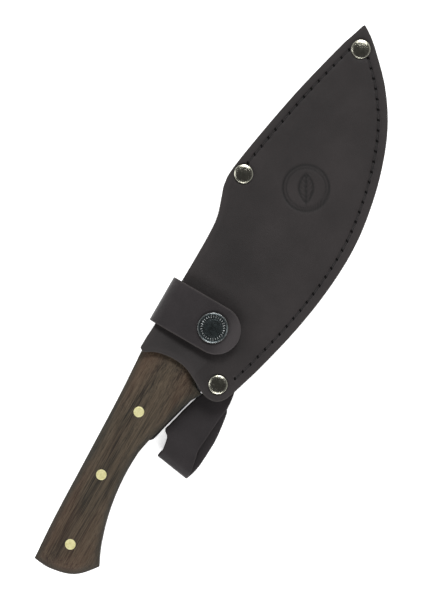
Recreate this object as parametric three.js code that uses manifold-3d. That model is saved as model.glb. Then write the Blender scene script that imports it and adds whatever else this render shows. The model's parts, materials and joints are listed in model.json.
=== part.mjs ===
import * as THREE from 'three';
import { mergeVertices } from 'three/addons/utils/BufferGeometryUtils.js';
import Module from 'manifold-3d';

// A broad full-tang camp knife in its riveted leather sheath, lying face up.
// Millimetres, +Z up. +X runs to the sheath tip, along the line the knife is drawn on, and +Y
// to the spine. Plan points are measured from the throat rivet, and heights from the blade's
// middle plane. The last lines move the whole group, so that it stands on z = 0 and is centred.

// ---- driving sizes ----
const overallLength = 374; // pommel to sheath tip
const overallWidth = 109.4; // belt loop to the spine of the sheath
const drawnLength = 374; // the size that the outlines below are drawn at
const drawnWidth = 109.4;

const bladeThickness = 4;
const bladeClearance = 0.25; // blade to leather, each side
const edgeThickness = 0.4;
const panelThickness = 2.8;
const weltWidth = 11;
const scaleThickness = 8.5; // of one handle scale at the palm
const pinDiameter = 6.35;

const strapWidth = 29.5;
const strapThickness = 2.6;
const snapStack = 3.5; // strap to front panel, as the closed snap holds it
const strapClearance = 0.87; // strap to the leather's bulge, at the strap's nearer edge
const wrapDepth = 8; // how far in from the wrap the strap lies flat
const strapTurn = 12.3; // degrees from square to the draw line
const strapReach = 52.5; // from the wrap to the rounded end
const wrapReach = 4.7; // from the spine edge of the sheath to the strap's outer face
const tailBelow = 5.6; // from level with the snap to the strap's fixed end, on the back

const loopThickness = 2.6;
const beltGap = 5.2; // between the two layers of the belt loop
const loopDrop = 0.6; // belt loop's root below the back panel

const rivetDiameter = 11.5;
const rivetRise = 1.6;
const postDiameter = 3.8;
const innerHeadDiameter = 8;
const snapDiameter = 18.7;
const threadDiameter = 0.9;
const bellySeamInset = 5.7;
const spineSeamInset = 5.2;
const fit = 0.3; // gap round a piece that passes through another

// ---- heights worked out from them ----
const halfBlade = bladeThickness / 2;
const panelInner = halfBlade + bladeClearance;
const panelOuter = panelInner + panelThickness;
const headDepth = panelThickness / 3; // inner rivet heads are sunk this deep in the leather
const upperLoopTop = panelOuter + loopDrop;
const upperLoopUnder = upperLoopTop + loopThickness;
const rootLoopTop = upperLoopUnder + fit;
const rootLoopUnder = rootLoopTop + loopThickness;

const wasm = await Module();
wasm.setup();

// ---- plan points and curves ----
const spreadX = overallLength / drawnLength;
const spreadY = overallWidth / drawnWidth;
const at = ([x, y]) => new THREE.Vector2(x * spreadX, y * spreadY);
const curveOf = (points) => new THREE.SplineCurve(points.map(at));
const smooth = (t) => {
  const c = Math.min(1, Math.max(0, t));
  return c * c * (3 - 2 * c);
};

const throatRivet = at([0, 0]);
const spineRivet = at([103.5, 73.9]);
const tipRivet = at([206, 72.5]);
const loopRivet = at([29, 6.8]);
const snapCentre = at([23, 25.3]);
const pinPlaces = { front: at([-43.8, 24]), middle: at([-86.6, 15.2]), rear: at([-129.7, 0.8]) };

const sheathSpine = curveOf([
  [-14.7, 49.4], [-7.9, 50.8], [0, 52.1], [16, 55.2], [33.9, 58.5], [61, 64.4], [74, 68.4],
  [84.4, 74.4], [91.5, 78.5], [102.7, 81.1], [133.5, 82.9], [165.4, 83.6], [198.8, 82.7],
  [207.6, 81.9],
]);
const sheathBelly = curveOf([
  [6.5, -10.6], [26.3, -12], [57.7, -12.4], [88.4, -10.1], [116, -4.8], [140.5, 4.1],
  [162.7, 15.4], [182.7, 29.3], [199.4, 46.8], [212.8, 67.4],
]);
const sheathTip = curveOf([
  [212.8, 67.4], [215.8, 73.3], [218, 79], [218.2, 80.3], [216.9, 81], [207.6, 81.9],
]);
const frontMouth = curveOf([
  [6.5, -10.6], [0.5, -10], [-5.1, -8.6], [-8.9, -5.2], [-10.4, 0], [-9.7, 5.5], [-7.1, 14.1],
  [-5.6, 22.1], [-6.7, 31], [-10.5, 40.3], [-15.2, 46], [-14.7, 49.4],
]);
const backMouth = curveOf([
  [6.5, -10.6], [0.5, -10], [-5.1, -8.6], [-8.9, -5.2], [-10.2, 0], [-9.5, 4.6], [-13.5, 5.1],
  [-20, 5.2], [-32, 5.7], [-42, 6], [-51, 6.3], [-53.6, 9.5], [-54.2, 20], [-53, 31], [-47, 36.5],
  [-32, 40], [-19, 45], [-14.7, 49.4],
]);

const strapAngle = THREE.MathUtils.degToRad(strapTurn);
const strapAlong = new THREE.Vector2(Math.sin(strapAngle), -Math.cos(strapAngle));
const strapAcross = new THREE.Vector2(Math.cos(strapAngle), Math.sin(strapAngle));
const besideStrap = (p) => Math.abs(p.clone().sub(snapCentre).dot(strapAcross));
const wrapEdge = sheathSpine.getSpacedPoints(800).reduce((best, p) => (
  besideStrap(p) < besideStrap(best) ? p : best));
const snapReach = snapCentre.clone().sub(wrapEdge).dot(strapAlong) + wrapReach;
const strapTail = snapReach + tailBelow;
const wrapCentre = snapCentre.clone().addScaledVector(strapAlong, -snapReach);
const strapPlace = (s, t) => (
  wrapCentre.clone().addScaledVector(strapAlong, s).addScaledVector(strapAcross, t));
const strapRivet = strapPlace(strapTail - 8, 0);

const handleSpine = [
  [-151, 11], [-123.5, 19], [-83.9, 29.1], [-44.3, 39.3], [-15.6, 47.6], [-8, 49.4],
];
const handleFinger = [
  [-128.6, -21.2], [-118.3, -13.4], [-102.1, -4.4], [-84.1, 2.6], [-66.2, 7], [-55, 7.9], [-39.4, 7.1],
  [-21.9, 6.1], [-11.2, 3.4],
];
const pommel = curveOf([
  [-128.6, -21.2], [-137.7, -16.4], [-142.8, -11.9], [-146.4, -6], [-149.6, 2.2], [-151, 11],
]);
const scaleFront = curveOf([
  [-11.2, 3.4], [-9.9, 8], [-6, 14], [-1.8, 20], [-0.6, 27], [-1.6, 36], [-4.4, 44.5], [-8, 49.4],
]);
const bladeTop = curveOf([
  ...handleSpine, [10, 51.6], [33.9, 56.4], [61, 62.2], [75, 65.4], [90, 67.6], [120, 68.4],
  [160, 68.4], [193.5, 66.8],
]);
const bladeEdge = curveOf([
  ...handleFinger, [-8, 6.3], [20, 6.8], [75, 6.2], [100, 8], [125, 14.5], [150, 25], [170, 38.5],
  [185, 53.5], [193.5, 66.8],
]);
const bladeTip = curveOf([[193.5, 66.8], [193.5, 66.8]]);

// How far a scale stands off the tang. It thins out towards the blade, and the leather
// of the mouth follows it.
const swellStart = 15.5 * spreadX;
const swellSpan = 31.5 * spreadX;
const swellPower = 1.35;
const swell = (x) => {
  const reach = Math.max(0, swellStart - x) / swellSpan;
  return scaleThickness * (1 - Math.exp(-(reach ** swellPower)));
};
const leatherSlack = 1.05; // the leather stands this much further off than the scale
const slopeWidth = 8 * spreadY; // from the flat throat to the full bulge
const bulgeFrom = 6.6 * spreadY;
const frontBulge = (x, y) => leatherSlack * swell(x) * smooth((y - bulgeFrom) / slopeWidth);
const backBulge = (x, y) => {
  const start = bulgeFrom - 9 * spreadY * smooth((-6.5 * spreadX - x) / (8 * spreadX));
  return leatherSlack * swell(x) * smooth((y - start) / slopeWidth);
};
const strapEdge = strapPlace(0, -strapWidth / 2);
const strapGap = Math.max(snapStack, leatherSlack * swell(strapEdge.x) + strapClearance);
const strapUnder = panelOuter + strapGap;
const strapTop = strapUnder + strapThickness;

// ---- solids ----

// Merge shared corners, drop empty triangles and turn the faces outwards.
function tidied(geometry) {
  geometry.deleteAttribute('normal');
  geometry.deleteAttribute('uv');
  const merged = mergeVertices(geometry, 1e-4);
  const position = merged.attributes.position;
  const corners = [];
  for (let i = 0; i < merged.index.count; i += 3) {
    const [a, b, c] = [0, 1, 2].map((k) => merged.index.getX(i + k));
    if (a !== b && b !== c && c !== a) corners.push([a, b, c]);
  }
  const point = (i) => new THREE.Vector3().fromBufferAttribute(position, i);
  const volume = corners.reduce((sum, [a, b, c]) => sum + point(a).dot(point(b).cross(point(c))), 0);
  const turned = volume < 0 ? corners.map(([a, b, c]) => [a, c, b]) : corners;
  merged.setIndex(turned.flat());
  return merged;
}

function toSolid(geometry) {
  const vertProperties = Float32Array.from(geometry.attributes.position.array);
  const triVerts = Uint32Array.from(geometry.index.array);
  return new wasm.Manifold(new wasm.Mesh({ numProp: 3, vertProperties, triVerts }));
}

function drilled(geometry, cuts) {
  const solid = cuts.reduce((rest, cut) => rest.subtract(toSolid(cut)), toSolid(geometry));
  const mesh = solid.getMesh();
  const result = new THREE.BufferGeometry();
  result.setAttribute('position', new THREE.BufferAttribute(mesh.vertProperties, 3));
  result.setIndex(new THREE.BufferAttribute(mesh.triVerts, 1));
  return result;
}

function fromFaces(points, quads) {
  const geometry = new THREE.BufferGeometry();
  const values = points.flatMap((p) => [p.x, p.y, p.z]);
  geometry.setAttribute('position', new THREE.Float32BufferAttribute(values, 3));
  geometry.setIndex(quads.flatMap(([a, b, c, d]) => [a, b, c, a, c, d]));
  return tidied(geometry);
}

// A closed solid over the plan patch between four edge curves. steps are the shares along the
// lower and upper curves, rows the shares from the lower curve to the upper one, and
// heights(x, y, u, v) gives the solid's [lower, upper] z.
function patchSolid({ lower, upper, start, end, steps, rows, heights }) {
  const places = steps.map((u) => rows.map((v) => {
    const across = start.getPointAt(v).lerp(end.getPoint(v), u);
    const along = lower.getPointAt(u).lerp(upper.getPointAt(u), v);
    const first = lower.getPoint(0).lerp(upper.getPoint(0), v);
    const last = lower.getPoint(1).lerp(upper.getPoint(1), v);
    return { place: across.add(along).sub(first.lerp(last, u)), u, v };
  }));
  const points = [0, 1].flatMap((side) => places.flat().map(({ place, u, v }) => (
    new THREE.Vector3(place.x, place.y, heights(place.x, place.y, u, v)[side]))));
  const width = rows.length;
  const count = steps.length * width;
  const quads = [];
  for (let i = 0; i + 1 < steps.length; i += 1) {
    for (let j = 0; j + 1 < width; j += 1) {
      const a = i * width + j;
      quads.push([a, a + 1, a + width + 1, a + width]);
      quads.push([count + a, count + a + width, count + a + width + 1, count + a + 1]);
    }
  }
  const rim = [];
  for (let i = 0; i < steps.length; i += 1) rim.push(i * width);
  for (let j = 1; j < width; j += 1) rim.push((steps.length - 1) * width + j);
  for (let i = steps.length - 2; i >= 0; i -= 1) rim.push(i * width + width - 1);
  for (let j = width - 2; j > 0; j -= 1) rim.push(j);
  rim.forEach((a, k) => {
    const b = rim[(k + 1) % rim.length];
    quads.push([a, b, count + b, count + a]);
  });
  return fromFaces(points, quads);
}

// A closed strip of leather. Each section is [left, right], the two edges of its middle surface.
function ribbonSolid(sections, thickness) {
  const middle = sections.map(([left, right]) => left.clone().add(right).multiplyScalar(0.5));
  const points = sections.flatMap(([left, right], i) => {
    const after = middle[Math.min(i + 1, middle.length - 1)];
    const along = after.clone().sub(middle[Math.max(i - 1, 0)]);
    const up = right.clone().sub(left).cross(along).normalize().multiplyScalar(thickness / 2);
    const [above, below] = [[left, right], [right, left]].map((pair, k) => (
      pair.map((edge) => edge.clone().addScaledVector(up, k === 0 ? 1 : -1))));
    return [...above, ...below];
  });
  const quads = [[0, 1, 2, 3]];
  for (let i = 0; i + 1 < sections.length; i += 1) {
    for (let k = 0; k < 4; k += 1) {
      const next = (k + 1) % 4;
      quads.push([i * 4 + k, i * 4 + 4 + k, i * 4 + 4 + next, i * 4 + next]);
    }
  }
  const last = (sections.length - 1) * 4;
  quads.push([last + 3, last + 2, last + 1, last]);
  return fromFaces(points, quads);
}

function turnedSolid(profile, segments = 18) {
  const points = profile.map(([radius, z]) => new THREE.Vector2(radius, z));
  return tidied(new THREE.LatheGeometry(points, segments).rotateX(Math.PI / 2));
}

// A round cutter or pin on the point, between two heights.
function roundSolid(place, diameter, low, high, segments = 18) {
  const geometry = new THREE.CylinderGeometry(diameter / 2, diameter / 2, high - low, segments);
  return tidied(geometry.rotateX(Math.PI / 2).translate(place.x, place.y, (low + high) / 2));
}

function flatSolid(outline, low, high) {
  const shape = new THREE.Shape(outline);
  const geometry = new THREE.ExtrudeGeometry(shape, { depth: high - low, bevelEnabled: false });
  return tidied(geometry.translate(0, 0, low));
}

function threadSolid(points, z) {
  const path = new THREE.CatmullRomCurve3(points.map((p) => new THREE.Vector3(p.x, p.y, z)));
  const round = new THREE.Shape().absarc(0, 0, threadDiameter / 2, 0, Math.PI * 2, false);
  const options = { steps: points.length - 1, curveSegments: 2, bevelEnabled: false, extrudePath: path };
  return tidied(new THREE.ExtrudeGeometry(round, options));
}

// Points along a curve, moved a distance to its left.
function inset(curve, distance, count) {
  return Array.from({ length: count + 1 }, (_, i) => {
    const tangent = curve.getTangentAt(i / count);
    const left = new THREE.Vector2(-tangent.y, tangent.x);
    return curve.getPointAt(i / count).addScaledVector(left, distance);
  });
}

const object = new THREE.Group();
function addPiece(name, geometry, finish, place = new THREE.Vector3()) {
  const piece = new THREE.Mesh(geometry, new THREE.MeshStandardMaterial(finish));
  piece.name = name;
  piece.position.copy(place);
  object.add(piece);
}

const leather = { color: 0x3a3434, roughness: 0.75, metalness: 0 };
const strapLeather = { color: 0x3e383a, roughness: 0.7, metalness: 0 };
const walnut = { color: 0x55483c, roughness: 0.55, metalness: 0 };
const steel = { color: 0xb4b6b8, roughness: 0.35, metalness: 1 };
const brass = { color: 0xc8c37d, roughness: 0.35, metalness: 1 };
const nickel = { color: 0xc3bfb4, roughness: 0.25, metalness: 1 };
const gunmetal = { color: 0x2a3134, roughness: 0.3, metalness: 1 };
const blackThread = { color: 0x171516, roughness: 0.8, metalness: 0 };

// ---- knife ----
const pinHole = pinDiameter + 2 * fit;
const pinHoles = Object.values(pinPlaces).map((place) => (
  roundSolid(place, pinHole, -halfBlade - 2 * scaleThickness, halfBlade + 2 * scaleThickness)));
const evenSteps = (count) => Array.from({ length: count + 1 }, (_, i) => i / count);

const bevelShare = 0.38; // of the blade's width
const bladeHeights = (x, y, u, v) => {
  const ground = smooth((x + 6 * spreadX) / (10 * spreadX));
  const bevel = Math.min(1, v / bevelShare);
  const half = halfBlade - ground * (1 - bevel) * (halfBlade - edgeThickness / 2);
  return [-half, half];
};
addPiece('blade', drilled(patchSolid({
  lower: bladeEdge,
  upper: bladeTop,
  start: pommel,
  end: bladeTip,
  steps: evenSteps(40),
  rows: evenSteps(6),
  heights: bladeHeights,
}), pinHoles), steel);

const edgeRound = (v) => 1 - 0.5 * Math.abs(2 * v - 1) ** 3.5;
const buttRound = (u) => 1 - 0.45 * (1 - Math.min(1, u / 0.08)) ** 2.5;
const endRound = (u) => buttRound(u) * (1 - 0.4 * (1 - Math.min(1, (1 - u) / 0.1)) ** 2);
const scaleRise = (x, y, u, v) => halfBlade + swell(x) * edgeRound(v) * endRound(u);
for (const [name, side] of [['front_scale', 1], ['back_scale', -1]]) {
  const scale = patchSolid({
    lower: curveOf(handleFinger),
    upper: curveOf(handleSpine),
    start: pommel,
    end: scaleFront,
    steps: evenSteps(20),
    rows: evenSteps(8),
    heights: (x, y, u, v) => [side * halfBlade, side * scaleRise(x, y, u, v)].sort((a, b) => a - b),
  });
  addPiece(name, drilled(scale, pinHoles), walnut);
}
for (const [name, place] of Object.entries(pinPlaces)) {
  const half = halfBlade + swell(place.x);
  const pin = roundSolid(new THREE.Vector2(), pinDiameter, -half, half);
  addPiece(`handle_pin_${name}`, pin, brass, new THREE.Vector3(place.x, place.y, 0));
}

// ---- sheath body ----
const postHole = postDiameter + 2 * fit;
const through = 4 * panelOuter;
const rivetPlaces = [throatRivet, spineRivet, tipRivet];
const postCuts = rivetPlaces.map((place) => roundSolid(place, postHole, -through, through));
// The leather is pressed flat under a rivet's cap.
const seatCuts = rivetPlaces.map((place) => (
  roundSolid(place, rivetDiameter + fit, panelOuter, through, 24)));
const sunkHole = (place, side) => {
  const floor = side * (panelInner + headDepth + fit);
  const [low, high] = [floor, 0].sort((a, b) => a - b);
  return roundSolid(place, innerHeadDiameter + 2 * fit, low, high);
};

const throatShare = 0.55; // of the mouth's edge, the part with the tighter bends
const mouthShare = 0.15; // of the sheath's length, where the leather bulges over the handle
const twoPart = (share, before, after) => [
  ...evenSteps(before).map((u) => u * share),
  ...evenSteps(after).slice(1).map((u) => share + u * (1 - share)),
];
const panelSteps = twoPart(mouthShare, 8, 12);
const backHoles = [loopRivet, strapRivet].flatMap((place) => (
  [roundSolid(place, postHole, -through, 0), sunkHole(place, -1)]));
const snapHoles = [roundSolid(snapCentre, postHole, 0, through), sunkHole(snapCentre, 1)];
addPiece('front_panel', drilled(patchSolid({
  lower: sheathBelly,
  upper: sheathSpine,
  start: frontMouth,
  end: sheathTip,
  steps: panelSteps,
  rows: twoPart(throatShare, 9, 4),
  heights: (x, y) => [panelInner + frontBulge(x, y), panelOuter + frontBulge(x, y)],
}), [...postCuts, ...seatCuts, ...snapHoles]), leather);
addPiece('back_panel', drilled(patchSolid({
  lower: sheathBelly,
  upper: sheathSpine,
  start: backMouth,
  end: sheathTip,
  steps: panelSteps,
  rows: evenSteps(22),
  heights: (x, y) => [-panelOuter - backBulge(x, y), -panelInner - backBulge(x, y)],
}), [...postCuts, ...backHoles]), leather);

const spineWeltFrom = 97 * spreadX;
const spineWeltTo = 196.8 * spreadX;
const weltGap = 1.2;
const bellyInner = inset(sheathBelly, weltWidth, 26)
  .filter((p) => p.x > 14 * spreadX && p.x < spineWeltTo + weltGap);
const bellyWelt = [
  ...frontMouth.getSpacedPoints(40).filter((p) => p.y < 4.4 * spreadY).reverse(),
  ...sheathBelly.getSpacedPoints(26).slice(1),
  ...sheathTip.getPoints(10).slice(1),
  at([spineWeltTo / spreadX + weltGap, 82.7]),
  ...bellyInner.reverse(),
  at([6, 4.4]),
];
addPiece('belly_welt', drilled(flatSolid(bellyWelt, -panelInner, panelInner), postCuts), leather);
const spineRun = (distance) => inset(sheathSpine, distance, 36)
  .filter((p) => p.x > spineWeltFrom && p.x < spineWeltTo);
// The welt's inner edge stays clear of the blade, which slides past it.
const bladeBack = bladeTop.getSpacedPoints(200);
const backNear = (p) => bladeBack.reduce((best, q) => (
  Math.abs(q.x - p.x) < Math.abs(best.x - p.x) ? q : best)).y;
const spineInner = spineRun(-weltWidth)
  .map((p) => new THREE.Vector2(p.x, Math.max(p.y, backNear(p) + bladeClearance)));
const spineWelt = flatSolid([...spineRun(0), ...spineInner.reverse()], -panelInner, panelInner);
addPiece('spine_welt', drilled(spineWelt, postCuts), leather);

// ---- rivets ----
// A cap with a blind hole, and a post with its own head on the other side of the leather.
function addRivet(name, place, top, under) {
  const [half, post, bore] = [rivetDiameter / 2, postDiameter / 2, postDiameter / 2 + fit];
  addPiece(`${name}_cap`, turnedSolid([
    [bore, 0], [half, 0], [half, 0.35 * rivetRise], [0.8 * half, 0.8 * rivetRise],
    [0.4 * half, rivetRise], [0, rivetRise], [0, 0.5 * rivetRise], [bore, 0.5 * rivetRise], [bore, 0],
  ]), nickel, new THREE.Vector3(place.x, place.y, top));
  const stem = top - under;
  addPiece(`${name}_post`, turnedSolid([
    [0, -rivetRise], [0.7 * half, -rivetRise], [half, -0.35 * rivetRise], [half, 0], [post, 0],
    [post, stem + 0.3 * rivetRise], [0, stem + 0.3 * rivetRise],
  ]), nickel, new THREE.Vector3(place.x, place.y, under));
}
addRivet('throat_rivet', throatRivet, panelOuter, -rootLoopUnder);
addRivet('spine_rivet', spineRivet, panelOuter, -panelOuter);
addRivet('tip_rivet', tipRivet, panelOuter, -panelOuter);

// A rivet whose flat head is sunk in the inner face of the back panel, and whose cap is outside.
function addSunkRivet(name, place, under) {
  const [half, post, bore] = [rivetDiameter / 2, postDiameter / 2, postDiameter / 2 + fit];
  const head = innerHeadDiameter / 2;
  const capPlace = new THREE.Vector3(place.x, place.y, -under);
  addPiece(`${name}_cap`, turnedSolid([
    [bore, 0], [half, 0], [half, -0.35 * rivetRise], [0.8 * half, -0.8 * rivetRise],
    [0.4 * half, -rivetRise], [0, -rivetRise], [0, -0.5 * rivetRise], [bore, -0.5 * rivetRise],
    [bore, 0],
  ]), nickel, capPlace);
  const stem = under - panelInner - fit;
  addPiece(`${name}_post`, turnedSolid([
    [0, 0], [head, 0], [head, -headDepth], [post, -headDepth], [post, -stem - 0.3 * rivetRise],
    [0, -stem - 0.3 * rivetRise],
  ]), nickel, new THREE.Vector3(place.x, place.y, -panelInner - fit / 2));
}
addSunkRivet('loop_rivet', loopRivet, rootLoopUnder);

// ---- seams ----
const seamClear = rivetDiameter / 2 + 1;
const farFromRivets = (p) => rivetPlaces.every((rivet) => rivet.distanceTo(p) > seamClear);
const bellySeam = inset(sheathBelly, bellySeamInset, 30)
  .filter((p) => farFromRivets(p) && p.x > 12 * spreadX);
const spineSeam = inset(sheathSpine, -spineSeamInset, 40)
  .filter((p) => farFromRivets(p) && p.x > spineRivet.x && p.x < tipRivet.x);
const threadHeight = panelOuter + fit + threadDiameter / 2;
for (const [name, seam] of [['belly', bellySeam], ['spine', spineSeam]]) {
  addPiece(`${name}_seam_front_thread`, threadSolid(seam, threadHeight), blackThread);
  addPiece(`${name}_seam_back_thread`, threadSolid(seam, -threadHeight), blackThread);
}

// ---- keeper strap ----
// It is fixed to the back, wraps round the open spine side and snaps down on the front.
const wrapHalf = strapWidth / 2;
const edgeAt = (t) => leatherSlack * swell(strapPlace(0, t).x);
const backLevel = (t) => -(panelOuter + edgeAt(t) + 0.8 + strapThickness / 2);
const frontLevel = strapUnder + strapThickness / 2;
const strapPoint = (s, t, z) => {
  const place = strapPlace(s, t);
  return new THREE.Vector3(place.x, place.y, z);
};
const levelBetween = (t) => (
  THREE.MathUtils.lerp(backLevel(-wrapHalf), backLevel(wrapHalf), (t + wrapHalf) / strapWidth));
const strapSection = (s, half, level) => [-half, half].map((t) => strapPoint(s, t, level(t)));

const endCentre = strapReach - wrapHalf;
const flapStations = [wrapDepth + fit, 16, 24, 31, endCentre];
const flapSections = flapStations.map((s) => strapSection(s, wrapHalf, () => frontLevel));
const roundSteps = 9;
for (let i = 1; i <= roundSteps; i += 1) {
  const angle = (i / (roundSteps + 0.6)) * (Math.PI / 2);
  const s = endCentre + wrapHalf * Math.sin(angle);
  flapSections.push(strapSection(s, wrapHalf * Math.cos(angle), () => frontLevel));
}
const strapHole = roundSolid(snapCentre, postHole, 0, 2 * strapTop);
addPiece('strap_flap', drilled(ribbonSolid(flapSections, strapThickness), [strapHole]), strapLeather);

const bendSteps = 14;
const bendSections = [];
for (let i = 0; i <= bendSteps; i += 1) {
  const angle = Math.PI / 2 - (i / bendSteps) * Math.PI;
  const square = angle > 0 ? 3.2 : 4; // the lower half hugs the edge of the back panel
  const reach = Math.abs(Math.cos(angle)) ** (2 / square);
  const rise = Math.sign(angle) * Math.abs(Math.sin(angle)) ** (2 / square);
  const bendSection = [-wrapHalf, wrapHalf].map((t) => {
    const low = levelBetween(t);
    const [centre, half] = [(frontLevel + low) / 2, (frontLevel - low) / 2];
    return strapPoint(wrapDepth - (wrapDepth - strapThickness / 2) * reach, t, centre + half * rise);
  });
  bendSections.push(bendSection);
}
addPiece('strap_bend', ribbonSolid(bendSections, strapThickness), strapLeather);

const tailStations = [wrapDepth + fit, 16, 24, 32, strapTail];
const tailSections = tailStations.map((s) => strapSection(s, wrapHalf, levelBetween));
const tailHole = roundSolid(strapRivet, postHole, -2 * strapTop, 0);
addPiece('strap_tail', drilled(ribbonSolid(tailSections, strapThickness), [tailHole]), strapLeather);
const tailSlope = (levelBetween(wrapHalf) - levelBetween(-wrapHalf)) / strapWidth;
const tailLean = tailSlope * (rivetDiameter / 2);
addSunkRivet('strap_rivet', strapRivet, -levelBetween(0) + strapThickness / 2 + tailLean);

// ---- snap ----
const snapPost = postDiameter / 2;
const [studRadius, knobRadius, neckRadius] = [5, 2.4, 1.7];
const [socketRadius, socketBore] = [6.2, 3.9];
const studBase = 0.9;
const studRise = strapGap - studBase - 0.9; // of the knob above its base, short of the socket's floor
const snapPlace = (z) => new THREE.Vector3(snapCentre.x, snapCentre.y, z);
const half = snapDiameter / 2;
addPiece('snap_cap', turnedSolid([
  [0, -strapThickness - 0.4], [snapPost, -strapThickness - 0.4], [snapPost, 0], [half, 0],
  [half, 0.7], [0.93 * half, 1.5], [0.82 * half, 1.7], [0.76 * half, 1.2], [0.52 * half, 1.3],
  [0.46 * half, 1.8], [0, 1.9],
], 24), gunmetal, snapPlace(strapTop));
const socketDepth = strapGap - studBase - 0.5;
addPiece('snap_socket', turnedSolid([
  [snapPost + fit, 0], [socketRadius, 0], [socketRadius, -socketDepth], [socketBore, -socketDepth],
  [socketBore, -0.5], [snapPost + fit, -0.5], [snapPost + fit, 0],
]), gunmetal, snapPlace(strapUnder));
addPiece('snap_stud', turnedSolid([
  [snapPost - 0.4, 0], [studRadius, 0], [studRadius, 0.6 * studBase], [0.8 * studRadius, studBase],
  [neckRadius, studBase], [neckRadius, studBase + 0.3 * studRise],
  [knobRadius, studBase + 0.5 * studRise], [knobRadius, studBase + 0.75 * studRise],
  [0.5 * knobRadius, studBase + studRise], [0, studBase + studRise],
  [0, studBase], [snapPost - 0.4, studBase], [snapPost - 0.4, 0],
]), gunmetal, snapPlace(panelOuter));
const studStem = panelThickness + 0.5 * studBase;
addPiece('snap_stud_post', turnedSolid([
  [0, 0], [innerHeadDiameter / 2, 0], [innerHeadDiameter / 2, headDepth], [snapPost - 0.7, headDepth],
  [snapPost - 0.7, studStem], [0, studStem],
]), gunmetal, snapPlace(panelInner + fit / 2));

// ---- belt loop ----
// One strip: its root lies under the back panel, runs out beside the handle, folds down and
// comes back underneath. Sections are [left x, left y, right x, right y] in plan.
const tabEnd = -54.2 * spreadX; // of the back panel, behind the handle
const restDepth = panelOuter + leatherSlack * swell(tabEnd);
const lowerLevel = -restDepth + loopThickness / 2;
const upperLevel = lowerLevel + loopThickness + beltGap;
const rootUpper = -(upperLoopTop + loopThickness / 2);
const rootLower = -(rootLoopTop + loopThickness / 2);
const seamPoints = inset(sheathBelly, bellySeamInset, 200);
const besideSeam = (x, clear) => {
  const seamY = seamPoints.find((p) => p.x > x * spreadX).y;
  return (seamY + threadDiameter / 2 + clear) / spreadY;
};
const rootPlan = [
  [38, 17, 38, besideSeam(38, 5)], [28, 16, 28, besideSeam(28, 2.9)], [15, 9.5, 15, besideSeam(15, 0.9)],
  [6, 6.6, 7, -8.6], [0, 3.8, 1, -11.6], [-7, 2, -7, -14.2],
];
const upperPlan = [
  [-14, 3.2, -15.3, -15], [-25, 4.6, -28, -16.8], [-36, 5, -37.4, -18.2],
  [-41.4, 5.2, -42, -20.2], [-44.4, 1, -46.5, -22.2], [-51.5, -2, -50, -23.8],
];
const lowerPlan = [
  [-51.5, -2, -50, -25.4], [-44.4, 1, -44, -25.2], [-40, 4.6, -36, -24], [-32, 4.8, -26, -22],
  [-20, 2.8, -17, -19], [-12, 1, -10, -16.2],
];
const foldReach = 5.2; // from the last flat section to the fold's outer face
const loopSection = ([lx, ly, rx, ry], z) => {
  const [left, right] = [at([lx, ly]), at([rx, ry])];
  return [new THREE.Vector3(left.x, left.y, z), new THREE.Vector3(right.x, right.y, z)];
};
const rising = (plan, from, to) => plan.map((place, i) => (
  loopSection(place, from + (to - from) * smooth((i + 1) / (plan.length - 1)))));
const foldSteps = 7;
const foldSections = [];
for (let i = 1; i < foldSteps; i += 1) {
  const angle = (i / foldSteps) * Math.PI;
  const share = i / foldSteps;
  const foldPlan = upperPlan.at(-1).map((value, k) => value + (lowerPlan[0][k] - value) * share);
  const out = (foldReach - loopThickness / 2) * Math.sin(angle);
  const edges = [foldPlan[0] - out, foldPlan[1], foldPlan[2] - out, foldPlan[3]];
  const [level, drop] = [(upperLevel + lowerLevel) / 2, (upperLevel - lowerLevel) / 2];
  foldSections.push(loopSection(edges, level + drop * Math.cos(angle)));
}
const loopSections = [
  ...rootPlan.map((place) => loopSection(place, rootUpper)),
  ...rising(upperPlan, rootUpper, upperLevel),
  ...foldSections,
  ...rising([...lowerPlan].reverse(), rootLower, lowerLevel).reverse(),
  ...[...rootPlan].reverse().map((place) => loopSection(place, rootLower)),
];
const loopHoles = [throatRivet, loopRivet].map((place) => (
  roundSolid(place, postHole, -2 * restDepth, 0)));
addPiece('belt_loop', drilled(ribbonSolid(loopSections, loopThickness), loopHoles), strapLeather);

// ---- stand it on z = 0, centred ----
const extent = new THREE.Box3().setFromObject(object);
const centre = extent.getCenter(new THREE.Vector3());
object.position.set(-centre.x, -centre.y, -extent.min.z);

export default object;
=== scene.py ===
import json
import math
import bpy
import bmesh
import numpy as np
from mathutils import Vector, Matrix, kdtree, noise

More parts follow.
